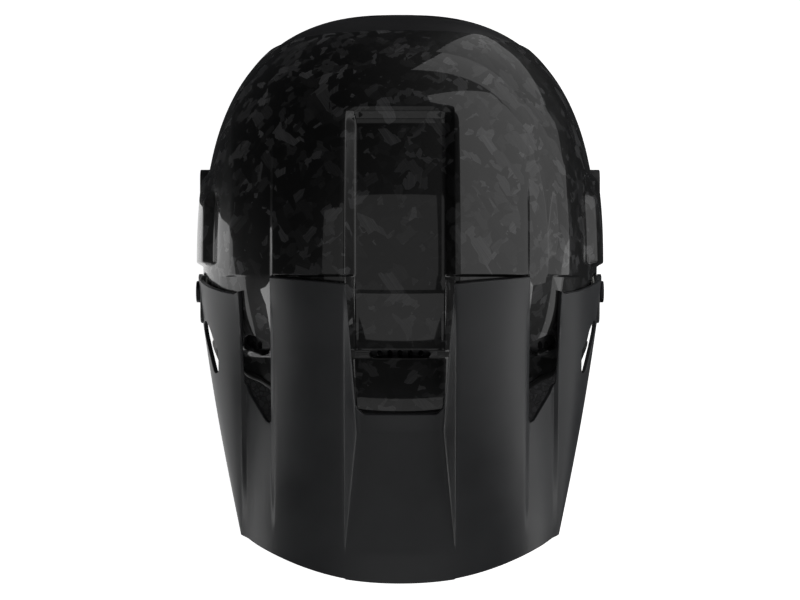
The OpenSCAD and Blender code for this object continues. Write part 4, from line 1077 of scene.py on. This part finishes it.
EYE_PROFILE = ((-2.6, 0.04), (-2.2, 0.62), (-0.8, 0.85), (1.0, 0.75), (2.2, 0.2), (2.6, -1.0), (2.6, -4.2),
               (1.7, -5.2), (-0.4, -5.4), (-2.3, -5.1), (-2.5, -3.3), (0.2, -3.2), (0.2, 0.03))
NECK_PROFILE = ((0.4, 3.4), (0.75, 3.0), (0.6, 1.4), (0.1, 0.35), (-0.5, 0.0), (-4.3, 0.0), (-4.85, 0.4),
                (-4.95, 2.7), (-4.5, 3.4))


class HELMET_OT_trims(bpy.types.Operator):
    """Build the rubber trims of the eyeport and the neck"""
    bl_idname = "helmet.trims"
    bl_label = "Rubber trims"

    def execute(self, context):
        rule = ShellRule(context.scene.helmet_shell)
        points, normals, faces = shell_patch(rule, shell_keep, -rule.chin, SHELL_REAR)
        loop = next(loop for loop in loops_of(border_of(faces))
                    if len(loop) > 100 and np.abs(round_eyeport(points[loop])).max() < 0.6)
        p, n = even_loop(points[loop], 2.2, normals[loop])
        made("eyeport_edging", swept_loop(p, n, EYE_PROFILE), "rubber", node="eyeport_trim")

        def end(pole_y, pole_z, power):
            share = (pole_z - NECK_RISE) / (pole_z - rule.low_z)
            return mix(rule.mid_y, pole_y, float(shares(share, power)))

        a = full_turn(220)
        front = end(-rule.chin, rule.chin_pole_z, rule.keel[1])
        rear = end(rule.rear, rule.rear_pole_z, rule.keel[0])
        y = mix(front, rear, (1 + np.cos(a)) / 2)
        low, side = rim_z(y), np.sin(a)
        x = np.where(np.abs(side) < 1e-9, 0, np.sign(side)) * rule.surface_x(y, low + NECK_RISE)
        line = columns(x, y, 0)
        t = tangents(line)
        out = columns(-t[:, 1], t[:, 0], 0)
        out *= np.sign(np.sum(out * (line - (0, 20, 0)), axis=1, keepdims=True))
        rings = [[p + o * d + (0, 0, z + h) for d, h in NECK_PROFILE] for p, o, z in zip(line, out, low)]
        made("neck_edging", lofted(rings), "rubber", node="neck_trim")
        return {"FINISHED"}


# Soft parts: cushions are sewn flat, blown up as cloth, then laid on the head cavity

CAVITY = (40.0, 118.0, 88.0, 106.0, 110.0)  # centre's Y and Z, half width, half length, dome's height
CUSHION_SECTION = ((0.35, 0), (0.7, 0), (0.95, 0.03), (1, 0.36), (0.95, 0.76), (0.74, 0.93), (0.36, 1))
CORNERS = 3.4
CHEEK_BACK_X = 89.5
REST_Z = 7.4  # height of the strap's middle under the chin
BLOW_FRAMES = 20


def cavity_point(turn, rise, d):
    """Point of the head cavity's wall at a turn from the rear and a height along the wall, d in from it."""
    y0, z0, half_w, half_l, dome = CAVITY
    lat, lon = np.clip(rise, 0, None) / dome, np.radians(turn)
    return columns((half_w - d) * np.cos(lat) * np.sin(lon), y0 + (half_l - d) * np.cos(lat) * np.cos(lon),
                   z0 + np.minimum(rise, 0) + (dome - d) * np.sin(lat))


def on_wall(turn, half_turn, low, high):
    return lambda u, v, d: cavity_point(turn + u * half_turn, mix(low, high, (v + 1) / 2), d)


def on_crown(u, v, d):
    y0, z0, half_w, half_l, dome = CAVITY
    x, y = 44 * u, 58 * v + 10
    height = np.sqrt(1 - (x / (half_w - d)) ** 2 - (y / (half_l - d)) ** 2)
    return columns(x, y0 + y, z0 + (dome - d) * height)


def on_cheek(side):
    return lambda u, v, d: columns(side * (CHEEK_BACK_X - d), 9 + 38 * u, 57 + 35 * v)


# Node, its body, half length and half height when flat, placing rule and sewn lines
CUSHIONS = (
    ("crown_pad", ROOT, (44, 58), on_crown, (("u", -0.36), ("u", 0.36), ("v", -0.42), ("v", 0.42))),
    ("brow_pad", ROOT, (51, 13), on_wall(180, 46, 80, 106), (("u", -0.5), ("u", 0), ("u", 0.5))),
    ("side_pad_left", ROOT, (40, 25), on_wall(-80, 26, -4, 46), (("ring", 0.6), ("u", 0))),
    ("side_pad_right", ROOT, (40, 25), on_wall(80, 26, -4, 46), (("ring", 0.6), ("u", 0))),
    ("neck_pad", ROOT, (74, 21), on_wall(0, 46, -86, -44),
     (("u", -0.62), ("u", -0.22), ("u", 0.22), ("u", 0.62))),
    ("cheek_pad_left", "cheek_pad_left", (38, 35), on_cheek(-1), (("ring", 0.66), ("v", 0))),
    ("cheek_pad_right", "cheek_pad_right", (38, 35), on_cheek(1), (("ring", 0.66), ("v", 0))),
)
# Property of the thickness, cap of the blow-up, and depth and width of a sewn line
PLAIN_KIND, CHEEK_KIND = ("pad", 1.3, 1.3, 1.5), ("cheek_pad", 2.6, 2.4, 2.0)


def rounded(a):
    """A square with rounded corners at the angles a."""
    c, s = np.cos(a), np.sin(a)
    return columns(*(np.sign(w) * np.abs(w) ** (2 / CORNERS) for w in (c, s)))


def cushion_rim(a):
    """Outline of a cushion: rounded corners, with sides that draw in between them."""
    return (1 - 0.06 * np.cos(2 * a) ** 2)[:, None] * rounded(a)


def flat_cushion(half, t):
    """A closed, slightly small cushion that lies flat, ready to be blown up."""
    rim = cushion_rim(full_turn(64)) * (np.array(half) - 1)
    rings = [columns(*(rim * share).T, mix(0.5, t - 1, depth)) for share, depth in CUSHION_SECTION]
    return lofted(rings, capped=True)


def points_of(mesh):
    out = np.empty(len(mesh.vertices) * 3)
    mesh.vertices.foreach_get("co", out)
    return out.reshape(-1, 3)


def evaluated(obj):
    return bpy.data.meshes.new_from_object(obj.evaluated_get(bpy.context.evaluated_depsgraph_get()))


def even_cushion(name, half, t, voxel=4.0):
    """The flat cushion as an object of even small faces."""
    obj = added(name, mesh_of(name, *flat_cushion(half, t), shift=0))
    even = obj.modifiers.new("Even", "REMESH")
    even.mode, even.voxel_size = "VOXEL", voxel * MM
    remeshed = evaluated(obj)
    obj.modifiers.clear()
    obj.data = remeshed
    return obj


def blow_up(parts):
    """Inflate each (object, cap) as cloth, without gravity, no point moving further than its cap."""
    scene = bpy.context.scene
    for obj, _ in parts:
        cloth = obj.modifiers.new("Cloth", "CLOTH")
        cloth.settings.quality = 5
        cloth.settings.use_pressure = True
        cloth.settings.uniform_pressure_force = 4
        cloth.settings.effector_weights.gravity = 0
        cloth.point_cache.frame_start, cloth.point_cache.frame_end = 1, BLOW_FRAMES
    for frame in range(1, BLOW_FRAMES + 1):
        scene.frame_set(frame)
    for obj, cap in parts:
        start = points_of(obj.data)
        move = points_of(evaluated(obj)) - start
        far = np.linalg.norm(move, axis=1, keepdims=True)
        ends = start + move * np.minimum(1, cap * MM / np.maximum(far, 1e-9))
        obj.modifiers.clear()
        obj.data.vertices.foreach_set("co", ends.ravel())
    scene.frame_set(1)


def smoothed_parts(obj):
    """Points in millimetres and faces of an object after subdivision; the object is removed."""
    sub = obj.modifiers.new("Round", "SUBSURF")
    sub.levels = sub.render_levels = 2
    mesh = evaluated(obj)
    points, faces = points_of(mesh) / MM, [tuple(f.vertices) for f in mesh.polygons]
    bpy.data.objects.remove(obj)
    return points, faces


def off_line(kind, at, u, v, half):
    """Distance in millimetres from flat places of a cushion to one of its sewn lines."""
    if kind == "u":
        return np.abs(u - at) * half[0]
    if kind == "v":
        return np.abs(v - at) * half[1]
    share = (np.abs(u) ** CORNERS + np.abs(v) ** CORNERS) ** (1 / CORNERS)
    return np.abs(share - at) * min(half)


def line_path(kind, at, half, step=1.5):
    """Even flat places along a sewn line of a cushion."""
    if kind == "ring":
        return even_loop(cushion_rim(full_turn(160)) * at / 0.97 * half, step)[0] / half
    along = np.arange(-0.86, 0.861, step / half[1 if kind == "u" else 0])
    return columns(at, along) if kind == "u" else columns(along, at)


STITCH_NODES = {
    "start": "NodeGroupInput", "curve": "GeometryNodeMeshToCurve", "even": "GeometryNodeResampleCurve",
    "tangent": "GeometryNodeInputTangent", "turn": "FunctionNodeAlignRotationToVector",
    "ball": "GeometryNodeMeshUVSphere", "half": "ShaderNodeMath", "size": "ShaderNodeCombineXYZ",
    "rows": "GeometryNodeInstanceOnPoints", "real": "GeometryNodeRealizeInstances",
    "thread": "GeometryNodeSetMaterial", "end": "NodeGroupOutput",
}
STITCH_LINKS = """
    start.Geometry curve.Mesh, curve.Curve even.Curve, start.Pitch even.Length, even.Curve rows.Points,
    tangent.Tangent turn.Vector, turn.Rotation rows.Rotation, ball.Mesh rows.Instance,
    start.Length half.Value, start.Thickness size.X, start.Thickness size.Y, half.Value size.Z,
    size.Vector rows.Scale, rows.Instances real.Geometry, real.Geometry thread.Geometry,
    start.Thread thread.Material, thread.Geometry end.Geometry"""


def stitch_tree():
    """Geometry nodes: a row of stitches along each line of a mesh of edges."""
    tree = bpy.data.node_groups.new("Stitch rows", "GeometryNodeTree")

    def socket(name, kind, side="INPUT"):
        return tree.interface.new_socket(name, in_out=side, socket_type=f"NodeSocket{kind}")

    socket("Geometry", "Geometry")
    for name, value in (("Pitch", 0.0022), ("Length", 0.0016), ("Thickness", 0.00022)):
        socket(name, "Float").default_value = value
    socket("Thread", "Material")
    socket("Geometry", "Geometry", "OUTPUT")
    nodes = {name: tree.nodes.new(kind) for name, kind in STITCH_NODES.items()}
    nodes["even"].mode, nodes["turn"].axis, nodes["half"].operation = "LENGTH", "Z", "MULTIPLY"
    for key, value in (("Segments", 6), ("Rings", 4), ("Radius", 1.0)):
        nodes["ball"].inputs[key].default_value = value
    for link in STITCH_LINKS.split(","):
        (a, out), (b, into) = (end.split(".") for end in link.split())
        tree.links.new(nodes[a].outputs[out], nodes[b].inputs[into])
    return tree


def grown_on(name, tree, lines, slot, body=ROOT, **values):
    """Thread that a geometry tree grows along lines of points, given in millimetres, as a plain mesh."""
    edges, first = [], 0
    for line in lines:
        edges += [(first + i, first + i + 1) for i in range(len(line) - 1)]
        first += len(line)
    guide = added(f"{name}_guide", mesh_of(f"{name}_guide", np.vstack(lines), edges=edges))
    grown = guide.modifiers.new("Grow", "NODES")
    grown.node_group = tree
    values["Thread"] = finished("thread")
    for item in tree.interface.items_tree:
        if item.in_out == "INPUT" and item.name in values:
            grown[item.identifier] = values[item.name]
    result = evaluated(guide)
    bpy.data.objects.remove(guide)
    for f in result.polygons:
        f.use_smooth = True
    placed(added(name, result), "thread", body)


def bound(place, t):
    """A thin round binding along the rim of a placed cushion."""
    rim = cushion_rim(full_turn(180)) * 0.985
    ring = even_loop(place(*rim.T, np.full(len(rim), t * 0.36)), 1.6)[0]
    tangent = tangents(ring)
    up = unit_rows(np.cross(tangent, unit_rows(ring.mean(axis=0) - ring)))
    return lofted([[c + 0.85 * (math.cos(b) * o + math.sin(b) * n) for b in full_turn(10)]
                   for c, o, n in zip(ring, np.cross(up, tangent), up)])


class HELMET_OT_pads(bpy.types.Operator):
    """Sew, blow up and lay the comfort pads and the cheek pads"""
    bl_idname = "helmet.pads"
    bl_label = "Pads"

    def execute(self, context):
        sizes, flat, parts = context.scene.helmet_soft, [], []
        for node, body, half, place, lines in CUSHIONS:
            size, cap, sunk, wide = CHEEK_KIND if node.startswith("cheek") else PLAIN_KIND
            t = getattr(sizes, size) / MM
            flat.append((even_cushion(f"{node}_flat", half, t), cap))
            parts.append((node, body, half, place, lines, t, sunk, wide))
        blow_up(flat)
        tree = stitch_tree()
        for (obj, _), (node, body, half, place, lines, t, sunk, wide) in zip(flat, parts):
            p, faces = smoothed_parts(obj)
            u, v = (np.clip(p[:, i] / half[i], -1, 1) for i in (0, 1))
            d = np.clip(p[:, 2], 0.3, t - 0.15)
            near = np.min([off_line(*line, u, v, half) for line in lines], axis=0)
            d = d - sunk * np.exp(-(near / wide) ** 2) * smooth((d / t - 0.55) / 0.35)
            pad = made(f"{node}_cushion", (place(u, v, d), faces), "pad", body, node)
            rows = []
            for path in (line_path(*line, half) for line in lines):
                gap = np.linalg.norm((path[:, None] - columns(u, v)[None]) * half, axis=2)
                rows.append(place(*path.T, np.where(gap < 1.3, d[None], 0).max(axis=1) + 0.1))
            grown_on(f"{node}_stitches", tree, rows, "pad_fabric", body, Pitch=0.0026, Length=0.0019,
                     Thickness=0.0003)
            made(f"{node}_binding", bound(place, t), "binding", body)
        return {"FINISHED"}


def strap_route(shell, end_x):
    """Middle line of the strap across and up, from its anchor to its end, as smooth points."""
    top = float(shell.surface_x(*ANCHOR)) + 4 - 5.6
    route = [(top, 90), (top, 69), (top - 5, 61), (mix(91.3, top, 0.4), 55), (95.3, 50), (91.3, 43),
             (91.3, 27), (89.3, 18), (83.3, 11.5), (74.3, 8.4), (63.3, REST_Z), (end_x, REST_Z)]
    return refined(np.array(route, float), 8)


def strap_band(side, route, width, t):
    """Webbing swept along a route, with rounded selvedges; also its lengths across and along."""
    step = unit_rows(np.gradient(route, axis=0))
    out = columns(-step[:, 1], step[:, 0])
    w, h = width / 2, t / 2
    section = [(-w + 0.5, h), (-w / 2, h), (0, h), (w / 2, h), (w - 0.5, h), (w - 0.15, h * 0.7), (w, 0),
               (w - 0.15, -h * 0.7)]
    section += [(-y, -up) for y, up in section]
    rings = [[(side * (c[0] + n[0] * up), ANCHOR[0] + y, c[1] + n[1] * up) for y, up in section]
             for c, n in zip(route, out)]
    uv = [(y, far) for far in run_along(route) for y, _ in section]
    return lofted(rings, capped=True), np.array(uv), out


SLEEVE_ENDS = (16.5, 59.5)
QUILT_PITCH = 10.75


class HELMET_OT_straps(bpy.types.Operator):
    """Sweep the chin straps, stitch them and pad the sleeve under the chin"""
    bl_idname = "helmet.straps"
    bl_label = "Chin straps"

    def execute(self, context):
        shell = ShellRule(context.scene.helmet_shell)
        _, _, width, t = millimetres(context.scene.helmet_soft)
        tree = stitch_tree()
        for side, name, end_x in ((-1, "left", 53), (1, "right", 6)):
            route = strap_route(shell, end_x)
            band, uv, out = strap_band(side, route, width, t)
            made(f"chin_strap_{name}", band, "webbing", node=f"strap_{name}", uv=uv)
            lines, sewn = [], slice(2, len(route) - 6)
            for y in (-width / 2 + 1.6, width / 2 - 1.6):
                for face in (-1, 1):
                    mid = route[sewn] + out[sewn] * face * (t / 2 + 0.05)
                    lines.append(columns(side * mid[:, 0], ANCHOR[0] + y, mid[:, 1]))
            grown_on(f"chin_strap_{name}_stitches", tree, lines, "strap_webbing", Pitch=0.0024, Length=0.0017,
                     Thickness=0.0002)
        shape = rounded(full_turn(72))
        inner, outer = shape * (width / 2 + 0.25, t / 2 + 0.25), shape * (width / 2 + 2.4, 2.9)
        start, end = SLEEVE_ENDS

        def dip(x):
            return 0.2 * math.exp(-(x % QUILT_PITCH / 1.4) ** 2)

        spans = [(16.2, 0.0), (16.1, 0.5), (start, 0.86),
                 *((x, 1 - dip(x - start) - dip(end - x)) for x in np.arange(17.2, 59.3, 0.7)),
                 (end, 0.86), (59.9, 0.5), (59.8, 0.0), *((x, 0.0) for x in (50, 40, 30, 22))]
        rings = [[(x, ANCHOR[0] + y, REST_Z + z) for y, z in mix(inner, outer, share)] for x, share in spans]
        sleeve = made("chin_sleeve", lofted(rings), "pad", node="strap_sleeve")
        return {"FINISHED"}


# Node, which stands for a left and a right one where it has a star, finish, slot, bevel and moving body
HARDWARE = (
    ("mouth_grille", "grille", "grille_plastic", 0.15),
    ("chin_grille_*", "grille", "grille_plastic", 0.15),
    ("brow_grille", "grille", "grille_plastic", 0.15),
    ("exhaust_grille", "grille", "grille_plastic", 0.15),
    ("side_port_*", "grille", "grille_plastic", 0.35),
    ("visor_nut_*", "nut", "pivot_metal", 0.2),
    ("visor_washer_*", "washer", "washer_plastic", 0.15),
    ("cheek_sockets_*", "snap", "snap_plastic", 0.25),
    ("strap_anchor_*", "steel", "anchor_steel", 0.3),
    ("ratchet_tongue", "buckle", "buckle_plastic", 0.2),
    ("buckle_base", "buckle", "buckle_plastic", 0.4),
    ("buckle_pin", "steel", "anchor_steel", 0.2),
    ("buckle_spring", "steel", "anchor_steel", 0.15),
    ("visor_screw_*", "screw", "screw_metal", 0.45, "visor_screw_*"),
    ("cheek_studs_*", "snap", "snap_plastic", 0.3, "cheek_pad_*"),
    ("buckle_lever", "lever", "lever_plastic", 0.4, "buckle_lever"),
)


class HELMET_OT_hardware(bpy.types.Operator):
    """Finish the screws, nuts, snaps, anchors and buckle"""
    bl_idname = "helmet.hardware"
    bl_label = "Screws, snaps and buckle"

    def execute(self, context):
        for node, finish, slot, bevel, *body in HARDWARE:
            for side in ("left", "right") if "*" in node else ("",):
                name, *on = (part.replace("*", side) for part in (node, *body))
                dressed(name, finish, slot, bevel, *on)
        return {"FINISHED"}


# Name, place, aim, width, height and power of each light
LAMPS = (
    ("panel_right", (2.33, 2.85, 0.965), (1.807, 2.85, 0.11), 7.5, 3.69, 66.0),
    ("ceiling", (-0.5, -0.2, 2.3), (-0.5, -0.2, 0.0), 2.0, 2.4, 4.0),
    ("floor_far", (2.0, 2.06, 0.02), (2.0, 2.06, 1.0), 3.8, 2.88, 21.0),
    ("floor_side", (2.2, 0.26, 0.02), (2.2, 0.26, 1.0), 3.4, 0.72, 4.2),
    ("floor_near", (0.29, 0.44, 0.02), (0.29, 0.44, 1.0), 0.42, 0.36, 0.17),
    ("floor_front", (0.0, -1.0, 0.02), (0.0, -1.0, 1.0), 0.5, 1.4, 0.3),
    ("panel_front", (0.0, -2.4, 1.92), (0.0, -2.4, 0.0), 1.2, 2.2, 3.6),
    ("horizon_front", (0.0, -2.3, 0.62), (0.0, 0.0, 0.2), 1.0, 0.9, 1.0),
    ("patch_left", (-0.435, -0.17, 0.02), (-0.435, -0.17, 1.0), 0.63, 0.46, 0.7),
    ("patch_right", (0.72, -0.3, 0.02), (0.72, -0.3, 1.0), 0.5, 0.7, 0.8),
    ("wall_left", (-1.11, -0.59, 0.4), (0.027, -0.12, 0.19), 0.5, 0.3, 1.7),
    ("wall_right", (1.11, -0.59, 0.55), (-0.027, -0.12, 0.19), 0.5, 0.3, 1.2),
)


class HELMET_OT_stage(bpy.types.Operator):
    """Set the floor, the lights and the camera"""
    bl_idname = "helmet.stage"
    bl_label = "Floor, lights and camera"

    def execute(self, context):
        scene, s = context.scene, context.scene.helmet_stage
        corners = [(-8000, -8000, 0), (8000, -8000, 0), (8000, 8000, 0), (-8000, 8000, 0)]
        plane = added("floor", mesh_of("floor", corners, [(0, 1, 2, 3)], shift=0))
        pale = tuple(s.floor_colour)
        f = Finish("Studio floor", pale, 0.8, Specular_IOR_Level=0.0, Emission_Color=(1, 1, 1),
                   Emission_Strength=0.95)
        f.set(Base_Color=f.blend(f.span(f.noise(3), 0.3, 0.7), times(pale, 0.985), pale))
        plane.data.materials.append(f.mat)
        plane.visible_glossy = False
        scene.view_settings.view_transform = "Standard"
        scene.world = scene.world or bpy.data.worlds.new("Studio")
        scene.world.use_nodes = True
        sky = scene.world.node_tree.nodes["Background"].inputs
        sky["Color"].default_value, sky["Strength"].default_value = (0.85, 0.87, 0.9, 1), 0.02
        for name, at, to, wide, high, watts in LAMPS:
            light = bpy.data.lights.new(name, "AREA")
            light.shape = "RECTANGLE"
            light.size, light.size_y, light.energy = wide, high, watts
            obj = added(name, light)
            obj.location = at
            obj.rotation_euler = (Vector(to) - Vector(at)).to_track_quat("-Z", "Y").to_euler()
            obj.visible_camera = False
        lens = bpy.data.cameras.new("photo_camera")
        lens.lens, lens.sensor_width, lens.sensor_fit = s.lens, 36, "HORIZONTAL"
        lens.clip_start, lens.clip_end = 0.05, 20
        scene.camera = added("photo_camera", lens)
        scene.camera.location = (0, LOCAL_Y * MM, s.camera_height)
        return {"FINISHED"}


class HELMET_PT_panel(bpy.types.Panel):
    """Sizes and pieces of the helmet"""
    bl_idname = "HELMET_PT_panel"
    bl_label = "Full-Face Helmet"
    bl_space_type = "VIEW_3D"
    bl_region_type = "UI"
    bl_category = "Helmet"

    def draw(self, context):
        for group, (title, sizes) in GROUPS.items():
            box = self.layout.box()
            box.label(text=title)
            for key in sizes.__annotations__:
                box.prop(getattr(context.scene, group), key)
        for op in OPERATORS:
            self.layout.operator(op.bl_idname)


GROUPS = {"helmet_shell": ("Shell", ShellSizes), "helmet_visor": ("Visor", VisorSizes),
          "helmet_soft": ("Soft parts", SoftSizes), "helmet_stage": ("Stage", StageSizes)}
OPERATORS = (HELMET_OT_stage, HELMET_OT_shell, HELMET_OT_cover, HELMET_OT_visor, HELMET_OT_liners,
             HELMET_OT_trims, HELMET_OT_pads, HELMET_OT_straps, HELMET_OT_hardware)
CLASSES = (*(sizes for _, sizes in GROUPS.values()), *OPERATORS, HELMET_PT_panel)


def register():
    for cls in CLASSES:
        bpy.utils.register_class(cls)
    for name, (_, sizes) in GROUPS.items():
        setattr(bpy.types.Scene, name, bpy.props.PointerProperty(type=sizes))


def unregister():
    for name in GROUPS:
        delattr(bpy.types.Scene, name)
    for cls in reversed(CLASSES):
        bpy.utils.unregister_class(cls)


def main():
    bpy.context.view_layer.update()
    register()
    for op in OPERATORS:
        area, name = op.bl_idname.split(".")
        getattr(getattr(bpy.ops, area), name)()


if __name__ == "__main__":
    main()
